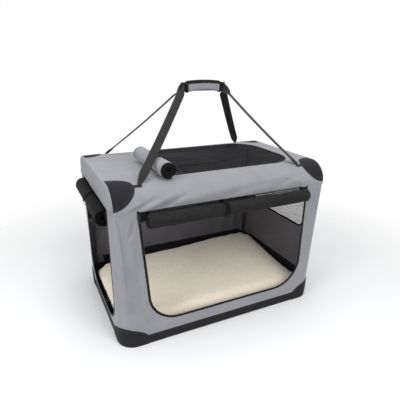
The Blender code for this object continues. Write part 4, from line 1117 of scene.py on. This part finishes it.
def add_guard(node, body, points, thread, wear, outward):
    """A dark patch sewn over a corner."""
    guard = link(f"{node}_cloth", Cloth().patch(points, thread, wear), ["dark"], body,
                 "guard_cloth", [node])
    face_along(guard, outward)
    thicken(guard, GUARD_CLOTH)


def add_top_guards():
    seams = Cloth()
    shares, turns = np.linspace(0, 1, 16), np.linspace(-np.pi / 2, np.pi / 2, 49)
    rim = smooth_step(1 - shares, 0.0, 0.12)[:, None]
    for end, x_side, side, y_side in CORNERS:
        first, _ = guard_places(x_side, y_side, shares, turns, 0.0)
        puff = 0.0007 + 0.0013 * rim * np.ones((1, 49)) + 0.0008 * rim * soft_push(first, 26.0, 2.0)
        points, thread = guard_places(x_side, y_side, shares, turns, puff)
        add_guard(f"top_guard_{side}_{end}", "top", points, thread, (1 - rim) * 0.9,
                  (0, y_side, 1))
        for inner in (0.95, 0.89):
            line, low = (guard_places(x_side, y_side, [inner], turns, out)[0][0]
                         for out in (0.0021, 0.0))
            stitch_line(seams, line, unit(line - low), -0.0001)
    link_seams("top_guard_stitches", seams, "top", "guard_cloth")


def add_end_piping():
    """A covered cord sewn into each end seam."""
    vs = np.linspace(-COVER_REACH + 0.001, COVER_REACH - 0.001, 150)
    inset = end_radius(vs) * 0.29
    section = circle(0.0016)
    for end, x_side in ENDS:
        outer = on_cover(x_side * (HALF_X - inset), vs, 0.0008, inset)
        outward = unit(outer - on_cover(x_side * (HALF_X - 0.03), vs, 0.0, 0.03))
        rows = sweep_rows(outer, beside_line(outer, outward), outward, section)
        cloth = capped(rows, thread_places(lengths(outer), section[:, 0]),
                       np.full(rows.shape[:2], 0.3))
        link(f"end_piping_{end}", cloth, ["grey"], "top", "cover_cloth")


# The base


def plan_line(step=0.006):
    """The crate's outline in plan, and the direction outward from each of its points."""
    points = []
    for cx, cy, start in ((1, -1, -0.5), (1, 1, 0.0), (-1, 1, 0.5), (-1, -1, 1.0)):
        centre = np.array((cx * (HALF_X - CORNER_R_BASE), cy * (HALF_Y - CORNER_R_BASE), 0.0))
        for n in range(13):
            turn = (start + 0.5 * n / 12) * np.pi
            points.append(centre + CORNER_R_BASE * np.array((math.cos(turn), math.sin(turn), 0.0)))
    line = resample(points, step, closed=True)
    along = np.roll(line, -1, axis=0) - np.roll(line, 1, axis=0)
    return line, unit(np.stack([along[:, 1], -along[:, 0], 0 * along[:, 0]], axis=1))


def add_band():
    """The band round the foot, and the stitches on it and on the guards over it."""
    line, outward = plan_line()
    section = np.array([(-0.0020, 0.0006), (-0.0012, 0.0001), (0.0002, 0.0008), (0.0009, 0.004),
                        (0.0012, 0.012), (0.0010, 0.022), (0.0006, 0.029), (0.0003, 0.0332),
                        (-0.0006, 0.0340), (-0.0019, 0.0338), (-0.0020, 0.020)])
    rows = []
    for p, out, wave in zip(line, outward, 0.0006 * soft_push(line, 30.0, 1.0)):
        bulge = np.where(section[:, 0] > 0, wave, 0.0)
        rows.append(p + np.outer(section[:, 0] + bulge, out)
                    + np.outer(section[:, 1], (0.0, 0.0, 1.0)))
    run = np.arange(len(line)) * np.linalg.norm(line[1] - line[0])
    wear = np.where(section[:, 1] < 0.002, 0.8, 0.15)
    cloth = capped(rows, thread_places(run, section[:, 1]), wear, closed=True)
    link("base_band_cloth", cloth, ["dark"], "base", "band_cloth", ["base_band"])
    seams = Cloth()
    seam, out = (np.concatenate([values, values[:1]]) for values in (line, outward))
    stitch_line(seams, seam + out * 0.0008 + (0, 0, 0.0295), out, 0.0002)
    for _, x_side, _, y_side in CORNERS:
        for level in (0.965, 0.90):
            high, low = (base_guard_rows(x_side, y_side, [level], [push])[0][0]
                         for push in (0.0026, 0.0))
            stitch_line(seams, high, unit(high - low), 0.0)
    link_seams("base_stitches", seams, "base", "band_cloth")


def base_guard_rows(x_side, y_side, levels, out):
    """Rows of a bottom guard from its foot to its curved top edge."""
    shares = np.linspace(-1, 1, 41)
    top = BAND_H + BASE_GUARD_RISE * np.maximum(1 - np.abs(shares) ** 1.7, 0) ** 0.85
    along = shares * BASE_GUARD_HALF
    rows, thread = [], []
    for level, push in zip(levels, out):
        z = top * level
        radius = corner_radius(z)
        reach = radius * np.pi / 4
        turn = np.pi / 4 + np.clip(along, -reach, reach) / radius
        beyond = np.maximum(np.abs(along) - reach, 0)
        x = HALF_X - radius + (radius + push) * np.cos(turn) - np.where(along > 0, beyond, 0)
        y = HALF_Y - radius + (radius + push) * np.sin(turn) - np.where(along < 0, beyond, 0)
        rows.append(np.stack([x_side * x, y_side * y, z], axis=-1))
        thread.append(np.stack([along, z], axis=-1))
    return np.array(rows), np.array(thread)


def add_base_guards():
    levels = np.linspace(0.01, 1, 14)
    puff = [0.0014 + 0.0016 * math.sin(math.pi * min(level * 1.02, 1)) ** 0.7 for level in levels]
    taper = smooth_step(levels, 0, 0.2) * smooth_step(1 - levels, 0, 0.15)
    wear = smooth_step(0.25 - levels, 0, 0.25)[:, None] * 0.9
    for end, x_side, side, y_side in CORNERS:
        first, _ = base_guard_rows(x_side, y_side, levels, [0.0] * 14)
        push = np.array(puff)[:, None] + 0.0007 * soft_push(first, 28.0, 6.0) * taper[:, None]
        points, thread = base_guard_rows(x_side, y_side, levels, push)
        add_guard(f"base_guard_{side}_{end}", "base", points, thread, wear, (x_side, y_side, 0))


# The fleece mat


def add_mat():
    """A pad swollen by a cloth simulation inside its bound seam, with a rough pile."""
    xs, ys = np.linspace(-1, 1, 92), np.linspace(-1, 1, 58)
    x, y = rounded_grid(xs * (MAT_HALF_X - 0.001), ys * (MAT_HALF_Y - 0.001), MAT_HALF_X,
                        MAT_HALF_Y, 0.030)
    edge = np.minimum(MAT_HALF_X - np.abs(x), MAT_HALF_Y - np.abs(y))
    rise = smooth_step(edge, -0.006, 0.016) ** 0.45
    cloth = Cloth()
    rims = []
    for z_sign in (1, -1):
        z = MAT_LOW + MAT_T / 2 + z_sign * (MAT_T / 2 - 0.004) * rise
        if z_sign < 0:
            z = np.maximum(z, MAT_LOW + 0.0005)
        skin = np.stack([x, y, z], axis=-1)
        cloth.patch(skin, skin[..., :2], flip=z_sign < 0)
        rims.append(np.concatenate([skin[0], skin[1:, -1], skin[-1, -2::-1], skin[-2:0:-1, 0]]))
    cloth.patch([rims[1], rims[0]], np.array([rims[1], rims[0]])[..., :2], wrap=True)
    mat = link("fleece_mat_pad", cloth, ["fleece"], "base", "fleece", ["fleece_mat"])
    reface(mat)
    swell(mat, 0.006)
    finish_pile(mat)


def swell(pad, cap):
    """Blows the pad up with Blender's cloth, no point by more than cap, and keeps the result."""
    remesh = pad.modifiers.new("remesh", "REMESH")
    remesh.mode, remesh.voxel_size = "VOXEL", 0.006
    settle(pad)
    before = np.array([v.co for v in pad.data.vertices])
    soft = pad.modifiers.new("swell", "CLOTH")
    soft.settings.use_pressure = True
    soft.settings.uniform_pressure_force = 4.0
    soft.settings.effector_weights.gravity = 0.0
    soft.settings.quality = 5
    scene = bpy.context.scene
    for step in range(1, 21):
        scene.frame_set(step)
    whole = pad.evaluated_get(bpy.context.evaluated_depsgraph_get())
    after = np.array([v.co for v in whole.data.vertices])
    pad.modifiers.clear()
    scene.frame_set(1)
    move = after - before
    far = np.linalg.norm(move, axis=1)
    move *= np.minimum(1.0, cap / np.maximum(far, 1e-9))[:, None]
    pad.data.vertices.foreach_set("co", (before + move).reshape(-1))
    pad.data.update()


def finish_pile(pad):
    """One subdivision, the pile's roughness, and the mat's rise up the rear right corner.

    The mat also bulges between the side hoops' legs, and stays above the floor panel."""
    fine = pad.modifiers.new("fine", "SUBSURF")
    fine.levels = fine.render_levels = 1
    settle(pad)
    co = np.array([v.co for v in pad.data.vertices])
    normal = np.array([v.normal for v in pad.data.vertices])
    clump, broad = soft_push(co, 95.0, 4.0), soft_push(co, 11.0, 9.0)
    top = smooth_step(co[:, 2], MAT_LOW + 0.030, MAT_LOW + 0.045)
    co = co + normal * (0.0009 * clump)[:, None]
    left_rise, right_rise = 0.008, 0.027
    rise = left_rise + (right_rise - left_rise) * smooth_step(co[:, 0], -0.30, 0.33)
    curl = rise * smooth_step(co[:, 1], -0.10, 0.212)
    co[:, 2] += (0.0022 * broad + curl) * top
    side = smooth_step(np.abs(co[:, 0]), 0.320, 0.345) * smooth_step(co[:, 2], 0.036, 0.050)
    side = side * smooth_step(0.190 - np.abs(co[:, 1]), 0.0, 0.016)
    co[:, 0] += np.sign(co[:, 0]) * 0.026 * side
    roof = MAT_LOW + MAT_HIGH + np.maximum(curl - left_rise, 0.0)
    co[:, 0] = np.clip(co[:, 0], -MAT_REACH_X, MAT_REACH_X)
    co[:, 1] = np.clip(co[:, 1], -MAT_REACH_Y, MAT_REACH_Y)
    co[:, 2] = np.minimum(np.maximum(co[:, 2], MAT_LOW), roof)
    pad.data.vertices.foreach_set("co", co.reshape(-1))
    for name in ("thread", "wear"):
        if name in pad.data.attributes:
            pad.data.attributes.remove(pad.data.attributes[name])
    set_marks(pad.data, co * (1, 1, 0), np.zeros(len(co)))
    pad.data.shade_smooth()
    pad.data.update()


# Rolls


def leaving_line(reach, tail, leave, count=7):
    """Points of a sheet that leaves a roll at the angle leave, along its tangent, up to tail."""
    run = (tail - reach * math.sin(leave)) / math.cos(leave) * np.linspace(0, 1, count)
    return np.stack([reach * math.cos(leave) - run * math.sin(leave),
                     reach * math.sin(leave) + run * math.cos(leave)], axis=1)


def spiral(outer, tail, count, leave=0.0, loose=0.0, seed=0.0):
    """A rolled sheet's section, from its core out to its tail, which starts at the angle leave."""
    turns = (outer - ROLL_CORE) / ROLL_PITCH
    share = np.linspace(0, 1, count)
    angle = leave - 2 * np.pi * turns * (1 - share)
    lumps = [noise.noise(Vector((math.cos(a) * 1.3, math.sin(a) * 1.3, seed))) for a in angle]
    radius = ROLL_CORE + (outer - ROLL_CORE) * share
    radius = radius + loose * np.array(lumps) * share * (1 - share ** 6)
    ring = np.stack([radius * np.cos(angle), radius * np.sin(angle)], axis=1)
    return np.concatenate([ring, leaving_line(outer, tail, leave)[1:]])


def roll_rows(to_world, half, outer, tail, leave, seed, count=128, skew=0.002):
    """Rows of a rolled sheet along its length, squeezed where its tie goes round."""
    rows, thread = [], []
    places = np.linspace(-half, half, max(round(half / 0.008), 24))
    for at in np.sort(np.concatenate([places, [0.007 - half, half - 0.007]])):
        section = spiral(outer, tail, count, leave, 0.0012, seed + at * 7.0)
        run = flat_lengths(section)
        slide = skew * np.sin(run * 95.0 + seed) * np.sign(at) * abs(at / half) ** 8
        squeeze = 1 - 0.10 * math.exp(-(at / 0.016) ** 2) * smooth_step(run, 0.25, 0.4)
        wobble = 0.0011 * noise.noise(Vector((at * 16.0, seed, 0.3)))
        keep = smooth_step(run, run[-1] - 0.06, run[-1])
        local = section * np.where(run > run[-1] - tail - 0.01, 1.0, squeeze)[:, None]
        local = local + np.array((0.0, wobble)) * (1 - keep)[:, None]
        rows.append(to_world(at + slide, local[:, 0], local[:, 1]))
        thread.append(np.stack([np.full(len(run), at), run], axis=-1))
    return np.array(rows), np.array(thread)


def by_front(at, a, b):
    """A place in the front roll: at runs along it, a outward from the wall and b up."""
    return np.stack([at + 0 * a, a + FRONT_ROLL_Y, b + FRONT_ROLL_Z], axis=-1)


def by_left(at, a, b):
    return np.stack([a + LEFT_ROLL_X, at + 0 * a, b + LEFT_ROLL_Z], axis=-1)


def on_top(at, a, b):
    """A place in the flap's roll, which lies a little askew on the cover."""
    x = b + FLAP_X - FLAP_SKEW * (at + FLAP_HALF)
    return np.stack([x, at + FLAP_Y + 0 * a, FLAP_Z - a], axis=-1)


# For each roll: half length, radius, tail's end, where the tail leaves, seed, place, and the height
# above which its tail shows netting
FRONT_ROLL = (0.284, 0.0218, 0.024, 0.0, 1.7, by_front, 0.4495)
LEFT_ROLL = (0.178, 0.0268, 0.0315, math.radians(30.8), 4.1, by_left, 0.4665)
FLAP_ROLL = (FLAP_HALF, 0.0244, 0.010, 0.0, 6.3, on_top, 0.4665)


def add_rolls():
    """The rolled doors and flap: each a spiral sheet whose tail goes in under the cover."""
    # One door cloth in two shades: the front roll's is painted lighter as painted light, and the
    # left roll's darker as painted shade.
    specs = (("front_door_roll", ["roll", "roll", "net"], *FRONT_ROLL, "door_roll"),
             ("left_door_roll", ["left_roll", "left_roll", "net"], *LEFT_ROLL, "door_roll"),
             ("top_flap_roll", ["grey", "tape"], *FLAP_ROLL, "flap_roll"))
    for name, looks, half, outer, tail, leave, seed, to_world, net_z, slot in specs:
        rows, thread = roll_rows(to_world, half, outer, tail, leave, seed)
        wear = 0.7 * smooth_step(np.abs(thread[..., 0]), half - 0.012, half)
        piece = link(f"{name}_sheet", Cloth().patch(rows, thread, wear), looks, "top", slot,
                     [name], merge=0)
        turn_outward(piece, to_world)
        thicken(piece, ROLL_T, offset=0.0, lining=1, rim=1)
        for face in piece.data.polygons:
            if "net" in looks and face.center.z > net_z and face.center.y > -0.2625:
                face.material_index = 2
            if "grey" in looks and abs(face.center.y - FLAP_Y) > half - 0.0072:
                face.material_index = 1
        length = flat_lengths(spiral(outer, tail, 128, leave))[-1]


def turn_outward(piece, to_world):
    """Turns a rolled sheet so that its outer side faces away from its core."""
    middle = to_world(np.zeros(1), np.zeros(1), np.zeros(1))[0]
    axis = to_world(np.ones(1), np.zeros(1), np.zeros(1))[0] - middle
    total = 0.0
    for face in piece.data.polygons:
        away = np.array(face.center) - middle
        away = away - axis * (away @ axis)
        total += float(np.array(face.normal) @ away) * face.area
    if total < 0:
        piece.data.flip_normals()


def add_ties():
    """A band round each roll, sewn in with the roll's tail."""
    specs = (("front_roll_tie", -0.036, 0.0231, *FRONT_ROLL),
             ("left_roll_tie", 0.0, 0.0285, *LEFT_ROLL),
             ("top_roll_tie", -0.0395, 0.0260, *FLAP_ROLL))
    for name, place, radius, _, _, tail, leave, _, to_world, _ in specs:
        turns = np.linspace(leave, leave - TIE_TURN, 54)
        loop = np.stack([radius * np.cos(turns), radius * np.sin(turns)], axis=1)
        line = np.concatenate([leaving_line(radius, tail, leave)[:0:-1], loop])
        run = flat_lengths(line)
        rows, thread = [], []
        for at in place + np.linspace(-TIE_HALF, TIE_HALF, 9):
            wave = 1 + 0.008 * np.sin(run * 60.0 + at * 200.0)
            bent = np.where(np.arange(len(line)) >= 6, wave, 1.0)
            rows.append(to_world(at, line[:, 0] * bent, line[:, 1] * bent))
            thread.append(np.stack([run, np.full(len(run), at)], axis=-1))
        wear = np.array([0.6, 0.1, 0, 0, 0, 0, 0, 0.1, 0.6])[:, None]
        # The ties take the left roll's darker colour, which is painted shade.
        piece = link(f"{name}_tape", Cloth().patch(rows, thread, wear), ["left_roll"], "top",
                     "tie_tape", [name])
        thicken(piece, 0.0010, offset=0.0)


# Straps and handle


def on_edge(angle, offset):
    """A place (y, z) over the cover's long edge."""
    reach = EDGE_R + offset
    return ROUND_Y + reach * math.sin(angle), ROUND_Z + reach * math.cos(angle)


def strap_leg(x_side, y_side):
    """Middle points and half widths of one leg, from its foot up to the handle's end."""
    lift = SEAM_GAP + STRAP_T + 0.0006 + STRAP_T / 2
    stations = []
    for turn in (32, 29, 25.5, 22):
        y, z = on_edge(math.radians(turn), lift)
        stations.append((Vector((x_side * STRAP_X, y_side * y, z)), Vector((STRAP_HALF, 0, 0))))
    foot = stations[-1][0]
    reach = x_side * (HANDLE_LENGTH / 2 + LEAD)
    end = Vector((HANDLE_X + reach, y_side * (STRAP_T + SEAM_GAP) / 2, HANDLE_Z))
    run = (end - foot).normalized()
    across = Vector((run.y, -run.x, 0)).normalized()
    across = across if across.x > 0 else -across
    if x_side == y_side:
        flat = Vector((1, 0, 0)) - Vector((1, 0, 0)).project(run)
        across = (across * 0.45 + flat.normalized() * 0.55).normalized()
    upright = run.cross(across)
    upright = upright if upright.z > 0 else -upright
    free, twist = 0.035, 0.042
    half_way = Vector((1, 0, 0)) + across
    half_way -= half_way.project(run)
    length = (end - foot).length
    stations.append((foot + run * free / 2, half_way.normalized() * STRAP_HALF))
    for n in range(8):
        share = n / 7
        at = free + (length - twist - free) * share
        sag = 0.004 * 4 * share * (1 - share)
        stations.append((foot + run * at - Vector((0, 0, sag)), across * STRAP_HALF))
    for n in range(1, 6):
        back = twist * (1 - n / 6)
        turn = math.pi / 2 * n / 5
        last = (upright + Vector((0, 0, 1))).normalized() if n == 5 else upright
        width = across * math.cos(turn) + last * math.sin(turn)
        stations.append((end - run * back, width.normalized() * STRAP_HALF))
    stations.append((end, Vector((0, 0, STRAP_HALF))))
    stations.append((end - Vector((x_side * LEAD, 0, 0)), Vector((0, 0, STRAP_HALF))))
    return stations


def smooth_line(values, count):
    """A rounded line through values, by Catmull and Rom's rule."""
    values = np.asarray(values, float)
    padded = np.concatenate([2 * values[:1] - values[1:2], values, 2 * values[-1:] - values[-2:-1]])
    points = []
    for n in range(len(values) - 1):
        p0, p1, p2, p3 = padded[n:n + 4]
        for k in range(count):
            t = k / count
            points.append(0.5 * (2 * p1 + (p2 - p0) * t + (2 * p0 - 5 * p1 + 4 * p2 - p3) * t * t
                                 + (3 * p1 - p0 - 3 * p2 + p3) * t ** 3))
    points.append(values[-1])
    return np.array(points)


def webbing(centres, halves, outward, run, half_w, worn, gather=None):
    """A band along centres, worn at its edges and drawn together by gather."""
    section = flat_oval(half_w, STRAP_T / 2, 14, 0.35)
    rows = sweep_rows(centres, halves, outward, section)
    if gather is not None:
        rows = centres[:, None, :] + (rows - centres[:, None, :]) * gather[:, None, None]
    wear = np.broadcast_to(worn * (np.abs(section[:, 0]) / half_w) ** 8, rows.shape[:2])
    return capped(rows, thread_places(run, section[:, 0]), wear)


def add_straps():
    """The two carry straps, each in one run from its left foot through the handle."""
    for side, y_side in SIDES:
        stations = strap_leg(-1, y_side) + strap_leg(1, y_side)[::-1]
        kept = [stations[0]]
        for centre, half in stations[1:]:
            kept.append((centre, -half if half.dot(kept[-1][1]) < 0 else half))
        centres = smooth_line([tuple(c) for c, _ in kept], 5)
        halves = unit(smooth_line([tuple(h) for _, h in kept], 5))
        along = unit(np.gradient(centres, axis=0))
        halves = unit(halves - along * (halves * along).sum(axis=1)[:, None])
        run = lengths(centres)
        gather = 0.36 + 0.64 * smooth_step(np.minimum(run, run[-1] - run), 0.004, 0.050)
        cloth = webbing(centres, halves, np.cross(along, halves), run, STRAP_HALF, 0.8, gather)
        strap = link(f"{side}_strap_webbing", cloth, ["web"], "top", "webbing", [f"{side}_strap"])
        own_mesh(strap)


def add_anchors():
    """A short tab beside each top guard's tip, sewn down under the strap's foot."""
    seams = Cloth()
    marks = EDGE_R * np.radians(np.linspace(23.5, 31.5, 12))
    for end, x_side, side, y_side in CORNERS:
        x, v = np.full(12, x_side * ANCHOR_X), y_side * (ROUND_Y + marks)
        centres = on_cover(x, v, SEAM_GAP + STRAP_T / 2)
        outward = unit(on_cover(x, v, 0.01) - on_cover(x, v, 0.0))
        halves = np.broadcast_to(np.array((1.0, 0.0, 0.0)), centres.shape)
        node = f"strap_anchor_{side}_{end}"
        link(f"{node}_webbing", webbing(centres, halves, outward, marks, ANCHOR_HALF, 0.6), ["web"],
             "top", "webbing", [node])
        for across in (-0.0128, 0.0128):
            line = on_cover(x + across, v, SEAM_GAP + STRAP_T)
            stitch_line(seams, line, outward, 0.0001, 0.0032, 0.0024)
    link_seams("anchor_stitches", seams, "top", "webbing")


def handle_section(share, grow=0.0, turns=None):
    """The wrap's outer section at a share of its half length.

    It narrows at its rounded ends, and its lower edge is arched."""
    end = max(abs(share) - 0.80, 0) / 0.20
    half_z = 0.0188 - 0.0050 * end ** 2.4 + grow
    half_y = 0.0086 - 0.0012 * end ** 2 + grow
    turns = np.arange(HANDLE_COUNT) * 2 * np.pi / HANDLE_COUNT if turns is None else turns
    c, s = np.cos(turns), np.sin(turns)
    z = half_z * np.sign(s) * np.abs(s) ** 0.62
    z = np.where(z < 0, z * (1 - 0.30 * (1 - share ** 2)), z)
    return np.stack([half_y * np.sign(c) * np.abs(c) ** 0.62, z], axis=1)


def handle_arch(x):
    return 0.0016 - 0.0040 * ((x - HANDLE_X) / (HANDLE_LENGTH / 2)) ** 2


def handle_ring(x, section, lift, step=0.0032):
    """A section of the handle at x, with its places on the cloth."""
    count = len(section)
    ring = np.stack([np.full(count, x), section[:, 0], HANDLE_Z + lift + section[:, 1]], axis=-1)
    return ring, np.stack([ring[:, 0], np.arange(count) * step], axis=-1)


def add_handle():
    """The padded wrap, whose first and last rows line the slot that the straps run through."""
    slot = flat_oval(STRAP_T + 0.0010, STRAP_HALF + 0.0008, HANDLE_COUNT, 0.4)
    left, right = (handle_ring(HANDLE_X + HANDLE_HALF * share, slot, 0.0)
                   for share in (-0.90, 0.90))
    rings = [left]
    for share in np.linspace(-1, 1, 45):
        x = HANDLE_X + HANDLE_HALF * share
        section = handle_section(share)
        ring, marks = handle_ring(x, section, handle_arch(x))
        away = unit(np.column_stack([0 * section[:, 0], section[:, 0], section[:, 1] * 0.4]))
        rings.append((ring + away * (0.0007 * soft_push(ring, 42.0, 3.0))[:, None], marks))
    cloth = Cloth().patch(*zip(*rings, right, left), wrap=True)
    wrap = link("handle_wrap_pad", cloth, ["grey"], "carry_handle", "handle_pad", ["handle_wrap"])
    reface(wrap)
    add_handle_piping()


def add_handle_piping():
    """A black binding folded over the wrap's top edge, and one round each end."""
    cloth = Cloth()
    over = np.radians(np.linspace(20, 160, 19))
    ends = ((0.885, 0.0), (0.895, 0.0010), (0.94, 0.0013), (0.985, 0.0012), (1.0, 0.0))
    bands = [([(share, 0.0007) for share in np.linspace(-0.985, 0.985, 41)], over, 0.0015, {})]
    for side in (-1, 1):
        bands.append(([(side * share, grow) for share, grow in ends], None, 0.0032,
                      {"wrap": True, "flip": side > 0}))
    for places, turns, step, how in bands:
        rows, thread = [], []
        for share, grow in places:
            x = HANDLE_X + HANDLE_HALF * share
            ring, marks = handle_ring(x, handle_section(share, grow, turns), handle_arch(x), step)
            rows.append(ring)
            thread.append(marks)
        cloth.patch(rows, thread, **how)
    piping = link("handle_piping", cloth, ["tape"], "carry_handle", "handle_pad", merge=0)
    shape = bmesh.new()
    shape.from_mesh(piping.data)
    for face in shape.faces:
        away = face.calc_center_median() - Vector((HANDLE_X, 0, HANDLE_Z))
        if face.normal.dot(Vector((0, away.y, away.z))) < 0:
            face.normal_flip()
    shape.to_mesh(piping.data)
    shape.free()
    thicken(piping, 0.0010, offset=1.0)
    seams = Cloth()
    xs = HANDLE_X + HANDLE_HALF * np.linspace(-0.9, 0.9, 30)
    for y_side in (-1, 1):
        line = np.stack([xs, np.full(30, y_side * 0.0088), HANDLE_Z + 0.0100 + handle_arch(xs)],
                        axis=-1)
        stitch_line(seams, line, np.array((0.0, float(y_side), 0.0)), 0.0)
    link_seams("handle_stitches", seams, "carry_handle", "handle_pad", "thread_grey")


# Zip sliders


def rounded_block(size, centre, bevel, steps=3):
    shape = bmesh.new()
    bmesh.ops.create_cube(shape, size=1.0)
    bmesh.ops.scale(shape, vec=size, verts=shape.verts)
    bmesh.ops.bevel(shape, geom=list(shape.edges), offset=bevel, segments=steps, profile=0.5,
                    affect="EDGES")
    bmesh.ops.translate(shape, vec=centre, verts=shape.verts)
    return shape


def slider_mesh(name):
    """A slider in its own frame: x across, y along its pull, z outward."""
    blocks = [((0.0088, 0.0118, 0.0014), (0, 0, 0.0007), 0.0005),
              ((0.0074, 0.0100, 0.0012), (0, 0, 0.0022), 0.0005),
              ((0.0016, 0.0100, 0.0010), (0, 0, 0.0030), 0.0003),
              ((0.0046, 0.0030, 0.0008), (0, 0.0050, 0.0036), 0.00025),
              ((0.0010, 0.0120, 0.0009), (-0.0019, 0.0120, 0.0035), 0.0003),
              ((0.0010, 0.0120, 0.0009), (0.0019, 0.0120, 0.0035), 0.0003),
              ((0.0048, 0.0060, 0.0011), (0, 0.0168, 0.0035), 0.0004)]
    whole = bmesh.new()
    for block in blocks:
        piece = rounded_block(*block)
        mesh = bpy.data.meshes.new(name + "_part")
        piece.to_mesh(mesh)
        piece.free()
        whole.from_mesh(mesh)
        bpy.data.meshes.remove(mesh)
    mesh = bpy.data.meshes.new(name)
    whole.to_mesh(mesh)
    whole.free()
    return mesh


def add_sliders():
    """The zip sliders at the upper ends of their runs, each on its own body."""
    below, proud = 0.013, 0.00105
    z = WALL_TOP - below
    slope = DOOR_LEAN / (WALL_TOP - DOOR_SILL - DOOR_R)
    front, down = (0, -1, 0), (0, 0, -1)
    specs = [("front_zip_slider_left", (slope * below - FRONT_SLIDER_X, -(HALF_Y + proud), z),
              front, Vector((slope, 0, -1)).normalized()),
             ("front_zip_slider_right", (FRONT_SLIDER_X, -(HALF_Y + proud), z), front, down)]
    specs += [(f"left_zip_slider_{side}", (-(HALF_X + proud), y_side * LEFT_SLIDER_Y, z),
               (-1, 0, 0), down) for side, y_side in SIDES]
    specs += [(f"flap_zip_slider_{side}", (FLAP_SLIDER_X, y_side * FLAP_SLIDER_Y, HEIGHT + proud),
               (0, 0, 1), (1, 0, 0)) for side, y_side in SIDES]
    for name, place, outward, pull in specs:
        outward, pull = Vector(outward), Vector(pull)
        turn = Matrix((pull.cross(outward), pull, outward)).transposed()
        mesh = slider_mesh(name + "_metal")
        mesh.transform(Matrix.Translation(place) @ turn.to_4x4())
        piece = link(name + "_metal", mesh, ["zip"], name, "zip_metal", [name])
        piece.data.set_sharp_from_angle(angle=math.radians(35))


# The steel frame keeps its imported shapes


def dress_frame():
    looks = {"base_ring": "steel", "floor_panel": "dark_object"}
    for end, _, side, _ in CORNERS:
        looks |= {f"{end}_lower_hoop": "steel", f"{end}_upper_hoop": "steel",
                  f"base_clip_{end}": "plastic", f"top_rail_{side}": "steel",
                  f"{end}_{side}_knee": "plastic", f"{end}_{side}_lock_button": "button"}
    for name, look in looks.items():
        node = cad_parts[name]
        node.data.materials.clear()
        node.data.materials.append(MATERIALS[look])
        for slot in node.material_slots:
            slot.material = MATERIALS[look]


MATERIALS = make_materials()
add_camera()
add_world()
add_floor()
add_lamp("key", 22.0, 1.6, (-1.9, -0.7, 1.6), (0, 0, 0.3))
add_lamp("top", 10.0, 1.2, (0.0, 0.0, 2.5), (0, 0, 0.3))
add_lamp("front", 28.0, 1.5, (0.1, -1.8, 1.95), (0, 0, 0.2))
add_walls()
add_openings()
add_corner_tabs()
add_cover()
add_top_window()
add_top_guards()
add_end_piping()
add_band()
add_base_guards()
add_mat()
add_rolls()
add_ties()
add_straps()
add_anchors()
add_handle()
add_sliders()
dress_frame()
